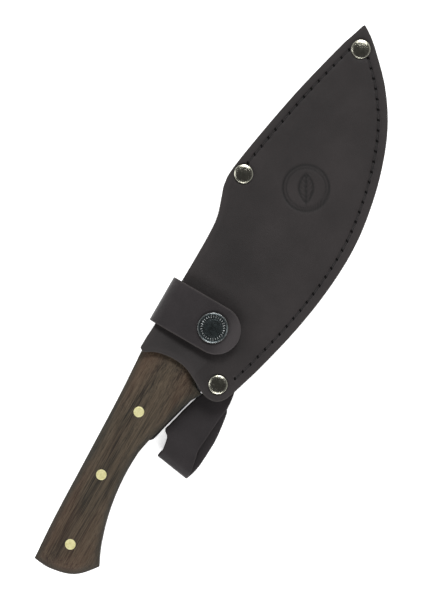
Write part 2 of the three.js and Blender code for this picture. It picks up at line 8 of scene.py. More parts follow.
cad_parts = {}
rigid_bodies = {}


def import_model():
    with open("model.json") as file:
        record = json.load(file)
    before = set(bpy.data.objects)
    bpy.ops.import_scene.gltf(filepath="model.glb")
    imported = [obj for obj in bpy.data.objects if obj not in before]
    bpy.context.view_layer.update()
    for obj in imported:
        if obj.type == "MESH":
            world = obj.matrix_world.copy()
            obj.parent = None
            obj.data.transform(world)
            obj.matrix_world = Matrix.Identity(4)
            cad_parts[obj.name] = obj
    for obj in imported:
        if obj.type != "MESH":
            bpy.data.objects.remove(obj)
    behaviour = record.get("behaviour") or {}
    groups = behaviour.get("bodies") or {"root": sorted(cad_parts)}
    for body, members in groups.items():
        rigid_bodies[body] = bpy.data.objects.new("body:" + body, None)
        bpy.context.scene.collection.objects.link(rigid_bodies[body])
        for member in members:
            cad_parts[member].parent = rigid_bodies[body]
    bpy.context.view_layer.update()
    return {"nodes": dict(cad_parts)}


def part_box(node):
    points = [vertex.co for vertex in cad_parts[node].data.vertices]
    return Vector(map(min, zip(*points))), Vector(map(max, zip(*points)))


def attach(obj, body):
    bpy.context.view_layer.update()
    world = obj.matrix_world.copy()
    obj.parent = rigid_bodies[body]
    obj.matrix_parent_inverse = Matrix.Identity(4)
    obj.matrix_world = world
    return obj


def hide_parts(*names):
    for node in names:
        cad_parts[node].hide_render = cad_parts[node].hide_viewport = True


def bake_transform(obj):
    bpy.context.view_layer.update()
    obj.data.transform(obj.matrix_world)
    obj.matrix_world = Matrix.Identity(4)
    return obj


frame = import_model()

# Plan points are in millimetres from the throat rivet, x to the sheath tip and y to the spine.
# Heights are in millimetres from the blade's middle plane.
capLow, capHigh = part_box("throat_rivet_cap")
bladeLow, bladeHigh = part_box("blade")
panelLow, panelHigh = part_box("spine_welt")
origin = np.array([(capLow.x + capHigh.x) / 2, (capLow.y + capHigh.y) / 2, (bladeLow.z + bladeHigh.z) / 2])
mm = 0.001


def heightOf(node, top):
    low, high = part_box(node)
    return ((high.z if top else low.z) - origin[2]) / mm


halfBlade = (bladeHigh.z - bladeLow.z) / 2 / mm
panelInner = (panelHigh.z - panelLow.z) / 2 / mm
panelOuter = heightOf("throat_rivet_cap", False)
strapUnder = heightOf("strap_flap", False)
strapTop = heightOf("strap_flap", True)
restDepth = -heightOf("belt_loop", False)


# curves and grids

def splineThrough(points, steps=24):
    # a smooth line through the points, as a dense list
    p = np.array(points, float)
    line = []
    for i in range(len(p) - 1):
        a, b, c, d = p[max(i - 1, 0)], p[i], p[i + 1], p[min(i + 2, len(p) - 1)]
        t = np.arange(steps)[:, None] / steps
        v0, v1 = (c - a) / 2, (d - b) / 2
        line.append((2 * b - 2 * c + v0 + v1) * t ** 3 + (-3 * b + 3 * c - 2 * v0 - v1) * t ** 2 + v0 * t + b)
    return np.vstack(line + [p[-1:]])


def lengthsOf(line):
    return np.concatenate([[0], np.cumsum(np.linalg.norm(np.diff(line, axis=0), axis=1))])


def alongLine(line, shares):
    # the points at these shares of the line's length
    lengths = lengthsOf(line)
    places = np.asarray(shares) * lengths[-1]
    return np.stack([np.interp(places, lengths, line[:, k]) for k in range(line.shape[1])], axis=-1)


def offsetLine(line, distance):
    # the line moved to its left
    tangent = np.gradient(line, axis=0)
    tangent /= np.maximum(np.linalg.norm(tangent, axis=1, keepdims=True), 1e-9)
    return line + distance * np.stack([-tangent[:, 1], tangent[:, 0]], axis=1)


def patchGrid(lower, upper, start, end, us, vs):
    # plan points between four edge curves, as (us, vs, 2)
    us, vs = np.asarray(us), np.asarray(vs)
    low, high = alongLine(lower, us)[:, None], alongLine(upper, us)[:, None]
    first, last = alongLine(start, vs)[None], alongLine(end, vs)[None]
    u, v = us[:, None, None], vs[None, :, None]
    corners = (lower[0] * (1 - v) + upper[0] * v) * (1 - u) + (lower[-1] * (1 - v) + upper[-1] * v) * u
    return first * (1 - u) + last * u + low * (1 - v) + high * v - corners


def smooth(t):
    c = np.clip(t, 0, 1)
    return c * c * (3 - 2 * c)


def sharesFrom(steps):
    # shares from 0 to 1 whose gaps follow the list of (count, size)
    gaps = np.concatenate([np.full(count, size, float) for count, size in steps])
    places = np.concatenate([[0], np.cumsum(gaps)])
    return places / places[-1]


def distanceTo(points, line):
    # distance from each plan point to the line's points, and the index of the nearest
    tree = kdtree.KDTree(len(line))
    for i, p in enumerate(line):
        tree.insert((p[0], p[1], 0), i)
    tree.balance()
    found = [tree.find((p[0], p[1], 0)) for p in points.reshape(-1, 2)]
    distance = np.array([f[2] for f in found]).reshape(points.shape[:-1])
    index = np.array([f[1] for f in found]).reshape(points.shape[:-1])
    return distance, index


def roundedDrop(distance, radius, depth):
    # how far a surface falls near a rounded edge
    share = 1 - np.clip(distance / radius, 0, 1)
    return depth * (1 - np.sqrt(np.clip(1 - share ** 2, 0, 1)))


def softNoise(points, size, seed):
    # smooth random heights, about -1 to 1, over plan points
    flat = points.reshape(-1, 2) / size
    values = [noise.noise(Vector((x, y, seed))) for x, y in flat]
    return np.array(values).reshape(points.shape[:-1])


# meshes

def newObject(name, data):
    made = bpy.data.objects.new(name, data)
    bpy.context.scene.collection.objects.link(made)
    return made


def makePiece(name, points, faces, material, attributes=None, smoothAngle=40):
    mesh = bpy.data.meshes.new(name)
    mesh.from_pydata((np.asarray(points) * mm + origin).tolist(), [], faces)
    for key, values in (attributes or {}).items():
        layer = mesh.attributes.new(key, "FLOAT", "POINT")
        layer.data.foreach_set("value", np.asarray(values, np.float32))
    piece = newObject(name, mesh)
    for m in material if isinstance(material, (list, tuple)) else [material]:
        mesh.materials.append(m)
    tidyMesh(mesh, smoothAngle)
    return piece


def tidyMesh(mesh, smoothAngle=40):
    work = bmesh.new()
    work.from_mesh(mesh)
    bmesh.ops.remove_doubles(work, verts=work.verts, dist=2e-6)
    bmesh.ops.recalc_face_normals(work, faces=work.faces)
    work.to_mesh(mesh)
    work.free()
    mesh.shade_smooth()
    mesh.set_sharp_from_angle(angle=math.radians(smoothAngle))


def slabPiece(name, top, bottom, material, attributes=None, smoothAngle=40, edgeDistance=None):
    # a closed sheet between two grids of points; its rim carries the cut-edge mask: the rim's lighter cut
    # colour and, where edge distances are given, a painted highlight fading over the top face within 0.9 mm
    # of the rim
    rows, columns = top.shape[:2]
    count = rows * columns
    index = np.arange(count).reshape(rows, columns)
    a, b, c, d = index[:-1, :-1], index[1:, :-1], index[1:, 1:], index[:-1, 1:]
    quads = np.stack([a, b, c, d], axis=-1).reshape(-1, 4)
    ring = np.concatenate([index[:, 0], index[-1, 1:], index[-2::-1, -1], index[0, -2:0:-1]])
    after = np.roll(ring, -1)
    rim = np.stack([ring, ring + count, after + count, after], axis=-1)
    faces = np.vstack([quads, quads[:, ::-1] + count, rim])
    edge = np.zeros(count)
    # painted highlight along the rounded top edge, fading out 0.9 mm in from the rim
    if edgeDistance is not None:
        edge = 0.8 * (1 - smooth(edgeDistance.ravel() / 0.9))
    edge[ring] = 1
    masks = {"cutEdgeAndHighlight": np.concatenate([edge, edge])}
    for key, values in (attributes or {}).items():
        masks[key] = np.concatenate([values.ravel(), np.zeros(count)])
    points = np.concatenate([top.reshape(-1, 3), bottom.reshape(-1, 3)])
    return makePiece(name, points, faces.tolist(), material, masks, smoothAngle)


def turnedPiece(name, profile, place, material, segments=72, smoothAngle=32):
    # a closed solid of revolution about an upright axis; the profile is (radius, height)
    profile = np.array(profile, float)
    angles = np.arange(segments) * 2 * math.pi / segments
    rings = [np.stack([place[0] + r * np.cos(angles), place[1] + r * np.sin(angles), np.full(segments, z)],
                      1) for r, z in profile]
    points = np.vstack(rings)
    faces = []
    for i in range(len(profile) - 1):
        for k in range(segments):
            n = (k + 1) % segments
            faces.append([i * segments + k, i * segments + n, (i + 1) * segments + n,
                          (i + 1) * segments + k])
    return makePiece(name, points, faces, material, None, smoothAngle)


def roundedProfile(corners, radius=0.3, steps=5):
    # the same profile with its inner corners rounded
    corners = [np.array(c, float) for c in corners]
    result = [corners[0]]
    for before, corner, after in zip(corners, corners[1:], corners[2:]):
        inLength, outLength = np.linalg.norm(corner - before), np.linalg.norm(after - corner)
        reach = min(radius, inLength * 0.45, outLength * 0.45)
        a = corner + (before - corner) / inLength * reach
        b = corner + (after - corner) / outLength * reach
        for t in np.linspace(0, 1, steps):
            result.append(a * (1 - t) ** 2 + 2 * corner * t * (1 - t) + b * t ** 2)
    return result + [corners[-1]]


def addPiece(piece, body, slotName, *nodes):
    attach(piece, body)
    if nodes:
        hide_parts(*nodes)
    return piece


# shader groups

def newGroup(name, inputs, outputs):
    tree = bpy.data.node_groups.new(name, "ShaderNodeTree")
    for socket, value in inputs.items():
        made = tree.interface.new_socket(name=socket, in_out="INPUT", socket_type="NodeSocketFloat")
        made.default_value = value
    for socket in outputs:
        tree.interface.new_socket(name=socket, in_out="OUTPUT", socket_type="NodeSocketFloat")
    return tree, tree.nodes.new("NodeGroupInput"), tree.nodes.new("NodeGroupOutput")


def mathNode(tree, operation, first, second):
    node = tree.nodes.new("ShaderNodeMath")
    node.operation = operation
    for i, value in enumerate([first, second]):
        if isinstance(value, (int, float)):
            node.inputs[i].default_value = value
        else:
            tree.links.new(value, node.inputs[i])
    return node.outputs[0]


def times(tree, first, second):
    return mathNode(tree, "MULTIPLY", first, second)


def noiseNode(tree, vector, scale, detail=3.0, roughness=0.5):
    node = tree.nodes.new("ShaderNodeTexNoise")
    node.inputs["Detail"].default_value = detail
    node.inputs["Roughness"].default_value = roughness
    tree.links.new(vector, node.inputs["Vector"])
    if isinstance(scale, (int, float)):
        node.inputs["Scale"].default_value = scale
    else:
        tree.links.new(scale, node.inputs["Scale"])
    return node.outputs["Fac"]


def spreadNode(tree, value, low, high, toLow=0.0, toHigh=1.0):
    node = tree.nodes.new("ShaderNodeMapRange")
    node.inputs["From Min"].default_value = low
    node.inputs["From Max"].default_value = high
    node.inputs["To Min"].default_value = toLow
    node.inputs["To Max"].default_value = toHigh
    tree.links.new(value, node.inputs["Value"])
    return node.outputs["Result"]


def makeLeatherGrain():
    # pebbled grain, pores and cloudy tone for top-grain leather
    tree, given, made = newGroup("leatherGrain", {"Grain": 1500.0, "Cloud": 45.0},
                                 ["Height", "Tone", "Gloss"])
    place = tree.nodes.new("ShaderNodeTexCoord").outputs["Object"]
    pebble = tree.nodes.new("ShaderNodeTexVoronoi")
    pebble.feature = "SMOOTH_F1"
    pebble.inputs["Smoothness"].default_value = 0.6
    tree.links.new(place, pebble.inputs["Vector"])
    tree.links.new(given.outputs["Grain"], pebble.inputs["Scale"])
    fine = noiseNode(tree, place, times(tree, given.outputs["Grain"], 2.4), 4.0, 0.6)
    cloud = noiseNode(tree, place, given.outputs["Cloud"], 5.0, 0.55)
    wide = noiseNode(tree, place, times(tree, given.outputs["Cloud"], 0.35), 2.0)
    creases = noiseNode(tree, place, times(tree, given.outputs["Cloud"], 6.0), 6.0, 0.7)
    height = mathNode(tree, "ADD", times(tree, pebble.outputs["Distance"], 0.55), times(tree, fine, 0.6))
    height = mathNode(tree, "ADD", height, times(tree, creases, 0.5))
    tone = mathNode(tree, "ADD", times(tree, cloud, 0.55), times(tree, wide, 0.45))
    tree.links.new(height, made.inputs["Height"])
    tree.links.new(spreadNode(tree, tone, 0.36, 0.64), made.inputs["Tone"])
    tree.links.new(spreadNode(tree, mathNode(tree, "ADD", creases, fine), 0.7, 1.3), made.inputs["Gloss"])
    return tree


def makeHandling():
    # fine scratches and fingerprints for metal
    tree, given, made = newGroup("handling", {"Scratch": 900.0, "Smudge": 160.0, "Stretch": 12.0},
                                 ["Scratches", "Smudges"])
    place = tree.nodes.new("ShaderNodeTexCoord").outputs["Object"]
    stretch = tree.nodes.new("ShaderNodeCombineXYZ")
    stretch.inputs["X"].default_value = 1.0
    stretch.inputs["Z"].default_value = 1.0
    tree.links.new(given.outputs["Stretch"], stretch.inputs["Y"])
    scaled = tree.nodes.new("ShaderNodeVectorMath")
    scaled.operation = "MULTIPLY"
    tree.links.new(place, scaled.inputs[0])
    tree.links.new(stretch.outputs[0], scaled.inputs[1])
    scratches = noiseNode(tree, scaled.outputs[0], given.outputs["Scratch"], 5.0, 0.75)
    smudges = noiseNode(tree, place, given.outputs["Smudge"], 4.0, 0.6)
    tree.links.new(spreadNode(tree, scratches, 0.35, 0.65), made.inputs["Scratches"])
    tree.links.new(spreadNode(tree, smudges, 0.38, 0.66), made.inputs["Smudges"])
    return tree


def makeWoodGrain():
    # long fibres, growth bands and open pores, running along the handle
    tree, given, made = newGroup("woodGrain", {"Fibre": 950.0, "Band": 110.0, "Turn": 0.25},
                                 ["Fibres", "Bands", "Pores", "Patches"])
    place = tree.nodes.new("ShaderNodeTexCoord").outputs["Object"]
    turn = tree.nodes.new("ShaderNodeVectorRotate")
    turn.rotation_type = "Z_AXIS"
    tree.links.new(place, turn.inputs["Vector"])
    tree.links.new(times(tree, given.outputs["Turn"], -1.0), turn.inputs["Angle"])

    def stretched(along):
        node = tree.nodes.new("ShaderNodeVectorMath")
        node.operation = "MULTIPLY"
        node.inputs[1].default_value = (along, 1.0, 1.0)
        tree.links.new(turn.outputs["Vector"], node.inputs[0])
        return node.outputs[0]

    bend = noiseNode(tree, stretched(0.35), 28.0, 2.0)
    bands = noiseNode(tree, stretched(0.055), given.outputs["Band"], 3.0, 0.6)
    fibres = noiseNode(tree, stretched(0.03), given.outputs["Fibre"], 4.0, 0.7)
    pores = tree.nodes.new("ShaderNodeTexVoronoi")
    tree.links.new(stretched(0.07), pores.inputs["Vector"])
    tree.links.new(times(tree, given.outputs["Fibre"], 1.5), pores.inputs["Scale"])
    tree.links.new(spreadNode(tree, fibres, 0.4, 0.66), made.inputs["Fibres"])
    tree.links.new(spreadNode(tree, mathNode(tree, "ADD", bands, times(tree, bend, 0.25)), 0.5, 0.74),
                   made.inputs["Bands"])
    tree.links.new(spreadNode(tree, pores.outputs["Distance"], 0.0, 0.34, 1.0, 0.0), made.inputs["Pores"])
    tree.links.new(spreadNode(tree, bend, 0.4, 0.62), made.inputs["Patches"])
    return tree


leatherGrain, handling, woodGrain = makeLeatherGrain(), makeHandling(), makeWoodGrain()


# materials

def newMaterial(name, **values):
    material = bpy.data.materials.new(name)
    material.use_nodes = True
    tree = material.node_tree
    shader = tree.nodes["Principled BSDF"]
    for key, value in values.items():
        shader.inputs[key].default_value = value
    return material, tree, shader


def placeGroup(tree, group, **values):
    node = tree.nodes.new("ShaderNodeGroup")
    node.node_tree = group
    for key, value in values.items():
        node.inputs[key].default_value = value
    return node


def mixColours(tree, share, first, second):
    node = tree.nodes.new("ShaderNodeMix")
    node.data_type = "RGBA"
    tree.links.new(share, node.inputs["Factor"])
    for socket, value in (("A", first), ("B", second)):
        target = [s for s in node.inputs if s.name == socket and s.type == "RGBA"][0]
        if isinstance(value, tuple):
            target.default_value = (*value, 1.0)
        else:
            tree.links.new(value, target)
    return [s for s in node.outputs if s.type == "RGBA"][0]


def maskNode(tree, name):
    node = tree.nodes.new("ShaderNodeAttribute")
    node.attribute_name = name
    return node.outputs["Fac"]


def bumpTo(tree, shader, height, distance):
    bump = tree.nodes.new("ShaderNodeBump")
    bump.inputs["Distance"].default_value = distance
    tree.links.new(height, bump.inputs["Height"])
    tree.links.new(bump.outputs["Normal"], shader.inputs["Normal"])


def leatherMaterial(name, finish):
    material, tree, shader = newMaterial(name, **{"Specular IOR Level": finish["shine"], "IOR": 1.45})
    grain = placeGroup(tree, leatherGrain, Grain=finish["grain"], Cloud=finish["cloud"])
    colour = mixColours(tree, grain.outputs["Tone"], finish["dark"], finish["light"])
    # lighter at the cut edge: the raw edge's own lighter colour, and a painted highlight along the rounded
    # top edge
    edge = maskNode(tree, "cutEdgeAndHighlight")
    colour = mixColours(tree, times(tree, edge, finish["edgeAndHighlightShare"]), colour, finish["edge"])
    # lighter where the zone mask is set: near the panel rims and towards the strap's free end
    colour = mixColours(tree, maskNode(tree, "lighterZone"), colour, finish["lighterZone"])
    # painted shade in the stamped emblem's lines
    colour = mixColours(tree, maskNode(tree, "pressed"), colour, finish["pressed"])
    tree.links.new(colour, shader.inputs["Base Color"])
    rough = spreadNode(tree, grain.outputs["Gloss"], 0.0, 1.0, finish["rough"][0], finish["rough"][1])
    tree.links.new(mathNode(tree, "ADD", rough, times(tree, edge, 0.2)), shader.inputs["Roughness"])
    bumpTo(tree, shader, grain.outputs["Height"], finish["bump"])
    return material


def metalMaterial(name, finish):
    material, tree, shader = newMaterial(name, **{"Metallic": finish["metal"]})
    marks = placeGroup(tree, handling, Scratch=finish["scratch"], Smudge=finish["smudge"],
                       Stretch=finish["stretch"])
    colour = mixColours(tree, marks.outputs["Smudges"], finish["light"], finish["dark"])
    tree.links.new(colour, shader.inputs["Base Color"])
    rough = spreadNode(tree, marks.outputs["Smudges"], 0.0, 1.0, finish["rough"][0], finish["rough"][1])
    tree.links.new(rough, shader.inputs["Roughness"])
    bumpTo(tree, shader, marks.outputs["Scratches"], finish["bump"])
    return material


def woodMaterial(name, finish):
    material, tree, shader = newMaterial(name, **{"Specular IOR Level": finish["shine"]})
    grain = placeGroup(tree, woodGrain, Fibre=finish["fibre"], Band=finish["band"], Turn=finish["turn"])
    colour = mixColours(tree, grain.outputs["Bands"], finish["dark"], finish["light"])
    colour = mixColours(tree, times(tree, grain.outputs["Patches"], finish["redShare"]), colour,
                        finish["red"])
    colour = mixColours(tree, times(tree, grain.outputs["Fibres"], finish["fibreShare"]), colour,
                        finish["pale"])
    colour = mixColours(tree, times(tree, grain.outputs["Pores"], 0.75), colour, finish["pore"])
    # painted shade towards the scale's rounded edges
    colour = mixColours(tree, times(tree, maskNode(tree, "edgeShade"), finish["edgeShadeShare"]), colour,
                        finish["edgeShade"])
    tree.links.new(colour, shader.inputs["Base Color"])
    rough = spreadNode(tree, grain.outputs["Fibres"], 0.0, 1.0, finish["rough"][0], finish["rough"][1])
    tree.links.new(rough, shader.inputs["Roughness"])
    height = mathNode(tree, "SUBTRACT", grain.outputs["Fibres"], times(tree, grain.outputs["Pores"], 1.4))
    bumpTo(tree, shader, height, finish["bump"])
    return material


def threadMaterial(name, finish):
    material, tree, shader = newMaterial(name, **{"Specular IOR Level": finish["shine"]})
    marks = placeGroup(tree, handling, Scratch=finish["fibre"], Smudge=400.0, Stretch=1.0)
    colour = mixColours(tree, marks.outputs["Scratches"], finish["dark"], finish["light"])
    tree.links.new(colour, shader.inputs["Base Color"])
    tree.links.new(spreadNode(tree, marks.outputs["Smudges"], 0.0, 1.0, 0.6, 0.85),
                   shader.inputs["Roughness"])
    bumpTo(tree, shader, marks.outputs["Scratches"], finish["bump"])
    return material


sheathLeather = leatherMaterial("sheathLeather", {
    "dark": (0.0125, 0.0105, 0.0105), "light": (0.021, 0.0175, 0.0175), "edge": (0.05, 0.043, 0.038),
    "edgeAndHighlightShare": 0.7, "lighterZone": (0.03, 0.026, 0.026), "pressed": (0.004, 0.0035, 0.0035),
    "rough": (0.5, 0.68), "shine": 0.32, "grain": 1500.0, "cloud": 42.0, "bump": 0.00009})
strapFinish = {
    "dark": (0.0125, 0.0102, 0.011), "light": (0.021, 0.0172, 0.0185), "edge": (0.055, 0.046, 0.043),
    "edgeAndHighlightShare": 0.6, "lighterZone": (0.036, 0.031, 0.032), "pressed": (0.008, 0.0065, 0.0065),
    "rough": (0.46, 0.64), "shine": 0.34, "grain": 1400.0, "cloud": 60.0, "bump": 0.00009}
strapLeather = leatherMaterial("strapLeather", strapFinish)
loopLeather = leatherMaterial("loopLeather", {
    **strapFinish, "edge": (0.04, 0.034, 0.032), "edgeAndHighlightShare": 0.35, "rough": (0.5, 0.68), "shine": 0.32})
walnut = woodMaterial("oiledWalnut", {
    "dark": (0.0105, 0.0088, 0.0065), "light": (0.05, 0.0365, 0.024),
    "red": (0.062, 0.025, 0.0135), "redShare": 0.6, "pale": (0.115, 0.088, 0.06), "fibreShare": 0.55,
    "pore": (0.005, 0.004, 0.003), "edgeShade": (0.016, 0.016, 0.012), "edgeShadeShare": 0.75,
    "rough": (0.55, 0.75), "shine": 0.18, "fibre": 1300.0, "band": 150.0, "turn": 0.22, "bump": 0.00012})
steel = metalMaterial("satinSteel", {
    "metal": 1.0, "light": (0.34, 0.35, 0.36), "dark": (0.24, 0.25, 0.26), "rough": (0.28, 0.42),
    "scratch": 700.0, "smudge": 60.0, "stretch": 0.04, "bump": 0.00003})
brass = metalMaterial("sandedBrass", {
    "metal": 0.6, "light": (0.7, 0.66, 0.36), "dark": (0.56, 0.52, 0.25), "rough": (0.45, 0.6),
    "scratch": 1500.0, "smudge": 500.0, "stretch": 4.0, "bump": 0.00003})
nickel = metalMaterial("wornNickel", {
    "metal": 1.0, "light": (0.42, 0.41, 0.345), "dark": (0.33, 0.325, 0.265), "rough": (0.15, 0.25),
    "scratch": 1200.0, "smudge": 420.0, "stretch": 3.0, "bump": 0.00002})
gunmetal = metalMaterial("blackenedBrass", {
    "metal": 1.0, "light": (0.115, 0.135, 0.14), "dark": (0.065, 0.08, 0.083), "rough": (0.24, 0.38),
    "scratch": 1300.0, "smudge": 450.0, "stretch": 3.0, "bump": 0.00002})
wornRim = metalMaterial("wornGunmetalRim", {
    "metal": 1.0, "light": (0.26, 0.27, 0.27), "dark": (0.1, 0.11, 0.11), "rough": (0.18, 0.34),
    "scratch": 1300.0, "smudge": 500.0, "stretch": 3.0, "bump": 0.00002})
waxedThread = threadMaterial("waxedThread", {
    "dark": (0.008, 0.007, 0.007), "light": (0.02, 0.018, 0.018), "fibre": 5000.0, "shine": 0.3,
    "bump": 0.00008})
holeShade = threadMaterial("awlHoleShade", {
    "dark": (0.0015, 0.0015, 0.0015), "light": (0.003, 0.003, 0.003), "fibre": 5000.0, "shine": 0.05,
    "bump": 0.00003})
print("materials made")


# outlines of the sheath, in millimetres
sheathSpine = splineThrough([
    (-14.7, 49.4), (-7.9, 50.8), (0, 52.1), (16, 55.2), (33.9, 58.5), (61, 64.4), (74, 68.4), (84.4, 74.4),
    (91.5, 78.5), (102.7, 81.1), (133.5, 82.9), (165.4, 83.6), (198.8, 82.7), (207.6, 81.9)])
sheathBelly = splineThrough([
    (6.5, -10.6), (26.3, -12), (57.7, -12.4), (88.4, -10.1), (116, -4.8), (140.5, 4.1),
    (162.7, 15.4), (182.7, 29.3), (199.4, 46.8), (212.8, 67.4)])
sheathTip = splineThrough([
    (212.8, 67.4), (215.8, 73.3), (218, 79), (218.2, 80.3), (216.9, 81), (207.6, 81.9)])
frontMouth = splineThrough([
    (6.5, -10.6), (0.5, -10), (-5.1, -8.6), (-8.9, -5.2), (-10.4, 0), (-9.7, 5.5), (-7.1, 14.1),
    (-5.6, 22.1), (-6.7, 31), (-10.5, 40.3), (-15.2, 46), (-14.7, 49.4)])
backMouth = splineThrough([
    (6.5, -10.6), (0.5, -10), (-5.1, -8.6), (-8.9, -5.2), (-10.2, 0), (-9.6, 4.2), (-13.5, 4.7), (-20, 5.2),
    (-32, 5.7), (-42, 6), (-51, 6.3), (-53.6, 9.5), (-54.2, 20), (-53, 31), (-47, 36.5), (-32, 40),
    (-19, 45),
    (-14.7, 49.4)])
throatRivet, spineRivet, tipRivet = np.array([0, 0.0]), np.array([103.5, 73.9]), np.array([206, 72.5])


def centreOf(node):
    low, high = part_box(node)
    return np.array([(low.x + high.x) / 2, (low.y + high.y) / 2]) / mm - origin[:2] / mm


snapCentre, loopRivet, strapRivet = map(centreOf, ("snap_cap", "loop_rivet_cap", "strap_rivet_cap"))

handle = {"swell": 8.5, "start": 15.5, "span": 31.5, "power": 1.35, "slack": 1.05}


def swell(x):
    # how far a handle scale stands off the tang
    reach = np.clip((handle["start"] - x) / handle["span"], 0, None)
    return handle["swell"] * (1 - np.exp(-reach ** handle["power"]))


def frontBulge(p):
    return handle["slack"] * swell(p[..., 0]) * smooth((p[..., 1] - 6.6) / 8)


def backBulge(p):
    start = 6.6 - 9 * smooth((-6.5 - p[..., 0]) / 8)
    return handle["slack"] * swell(p[..., 0]) * smooth((p[..., 1] - start) / 8)


# seams
seam = {"bellyPitch": 6.2, "spinePitch": 6.6, "thread": 0.95, "hole": 1.4, "bellyInset": 5.7,
        "spineInset": -5.2, "clear": 7.0, "level": 0.5, "sink": 0.35,
        "grooveDepth": 0.34, "grooveWidth": 0.8, "holeDepth": 0.42, "holeWidth": 1.0}


def seamLine(edge, inset, fromX, toX, pitch):
    line = alongLine(offsetLine(edge, inset), np.linspace(0, 1, 1500))
    far = np.min([np.linalg.norm(line - r, axis=1) for r in (throatRivet, spineRivet, tipRivet)],
                 axis=0) > seam["clear"]
    line = line[far & (line[:, 0] > fromX) & (line[:, 0] < toX)]
    count = max(2, round(lengthsOf(line)[-1] / pitch))
    return line, count


bellySeam, bellyCount = seamLine(sheathBelly, seam["bellyInset"], 9.5, 215, seam["bellyPitch"])
spineSeam, spineCount = seamLine(sheathSpine, seam["spineInset"], spineRivet[0], tipRivet[0],
                                 seam["spinePitch"])
seamHoles = np.vstack([alongLine(bellySeam, np.linspace(0, 1, bellyCount + 1)),
                       alongLine(spineSeam, np.linspace(0, 1, spineCount + 1))])
seamPath = np.vstack([bellySeam, spineSeam])


def seamDip(points):
    # the stitching groove, pulled in at each hole
    line = distanceTo(points, seamPath)[0]
    hole = distanceTo(points, seamHoles)[0]
    groove = seam["grooveDepth"] * np.exp(-(line / seam["grooveWidth"]) ** 2)
    pulled = seam["holeDepth"] * np.exp(-(hole / seam["holeWidth"]) ** 2)
    return groove + pulled + 0.12 * np.exp(-(hole / 2.6) ** 2)


def rivetDip(points, places):
    # leather pressed in round each rivet
    total = np.zeros(points.shape[:-1])
    for place in places:
        r = np.linalg.norm(points - place, axis=-1)
        total += 0.32 * np.exp(-(np.clip(r - 5.4, 0, None) / 1.5) ** 2)
    return total


# emblem: a plain leaf in a ring, pressed into the front
emblem = {"centre": (122.5, 40.5), "radius": 13.8, "turn": 42.0, "leafLength": 18.0, "leafWidth": 8.6,
          "line": 0.7, "depth": 0.42}


def emblemDip(points):
    turn = math.radians(emblem["turn"])
    q = points - np.array(emblem["centre"])
    x = q[..., 0] * math.cos(turn) + q[..., 1] * math.sin(turn)
    y = -q[..., 0] * math.sin(turn) + q[..., 1] * math.cos(turn)
    r = np.hypot(x, y)
    half = emblem["leafLength"] / 2
    inside = np.clip(1 - (x / half) ** 2, 0, 1)
    edge = np.abs(np.abs(y) - emblem["leafWidth"] / 2 * inside) + np.clip(np.abs(x) - half, 0, None) * 3
    rib = np.hypot(y, np.clip(np.abs(x + 1.5) - half + 0.5, 0, None))
    veins = np.full(r.shape, 9.0)
    for k in range(-2, 3):
        along = x - k * 3.0
        side = np.abs(np.abs(y) - along * 0.9) * 0.74
        veins = np.where((along > 0) & (np.abs(y) < emblem["leafWidth"] / 2 * inside - 0.5),
                         np.minimum(veins, side), veins)
    width = emblem["line"]
    fromRing = r - emblem["radius"]
    lines = np.exp(-(fromRing / width) ** 2) + 0.7 * np.exp(-((fromRing + 1.9) / (0.7 * width)) ** 2)
    lines += np.exp(-(edge / width) ** 2) + 0.8 * np.exp(-(rib / width) ** 2)
    lines += 0.55 * np.exp(-(veins / (0.7 * width)) ** 2)
    return emblem["depth"] * np.clip(lines, 0, 1)


# leather panels
panel = {"edgeRadius": 0.9, "edgeDrop": 0.5, "sink": 0.2, "thinnest": 0.8, "wave": 0.22, "ripple": 0.08,
         "snapPress": 0.22}
panelShares = sharesFrom([(2, 0.35), (20, 0.45), (32, 1.1), (44, 0.75), (12, 1.1), (20, 0.45), (2, 0.35)])
backShares = sharesFrom([(2, 0.35), (120, 0.8), (2, 0.35)])
lengthShares = sharesFrom([(2, 0.4), (60, 0.72), (230, 0.86), (6, 0.4)])


def makePanel(name, node, mouth, side, bulge, rivets, vs):
    grid = patchGrid(sheathBelly, sheathSpine, mouth, sheathTip, lengthShares, vs)
    sides = (sheathBelly, sheathSpine, mouth, sheathTip)
    outline = np.vstack([alongLine(c, np.linspace(0, 1, 900)) for c in sides])
    edge = distanceTo(grid, outline)[0]
    lift = bulge(grid)
    drop = roundedDrop(edge, panel["edgeRadius"], panel["edgeDrop"])
    marks = seamDip(grid) + rivetDip(grid, rivets)
    pressed = np.zeros(edge.shape)
    if side > 0:
        stamp = emblemDip(grid)
        marks += stamp
        # painted shade in the stamped lines: the deeper the stamp, the darker the leather colour there
        pressed = np.clip(stamp / emblem["depth"], 0, 1) * 0.95
        marks += panel["snapPress"] * (1 - smooth((np.linalg.norm(grid - snapCentre, axis=-1) - 4) / 6))
    wave = panel["wave"] * softNoise(grid, 26, 3.0 * side)
    wave = wave + panel["ripple"] * softNoise(grid, 9, 7.0 * side)
    wave *= smooth((edge - 1) / 8)
    outer = panelOuter + lift - drop - marks + wave - panel["sink"]
    inner = panelInner + lift + 0.35 * drop
    top = np.dstack([grid, side * np.maximum(outer, inner + panel["thinnest"])])
    bottom = np.dstack([grid, side * inner])
    # lighter within about 2 mm of the panel edge, fading out by 4.5 mm
    masks = {"pressed": pressed, "lighterZone": 0.3 * (1 - smooth((edge - 2) / 2.5))}
    addPiece(slabPiece(name, top, bottom, sheathLeather, masks, edgeDistance=edge), "sheath", "leather",
             node)


edgeRivets = [throatRivet, spineRivet, tipRivet]
makePanel("frontPanel", "front_panel", frontMouth, 1, frontBulge, edgeRivets, panelShares)
makePanel("backPanel", "back_panel", backMouth, -1, backBulge, edgeRivets + [loopRivet, strapRivet],
          backShares)
print("panels made")


# welts: the spacers that show as a middle layer at the edge
welt = {"width": 11.0, "inset": 0.15}


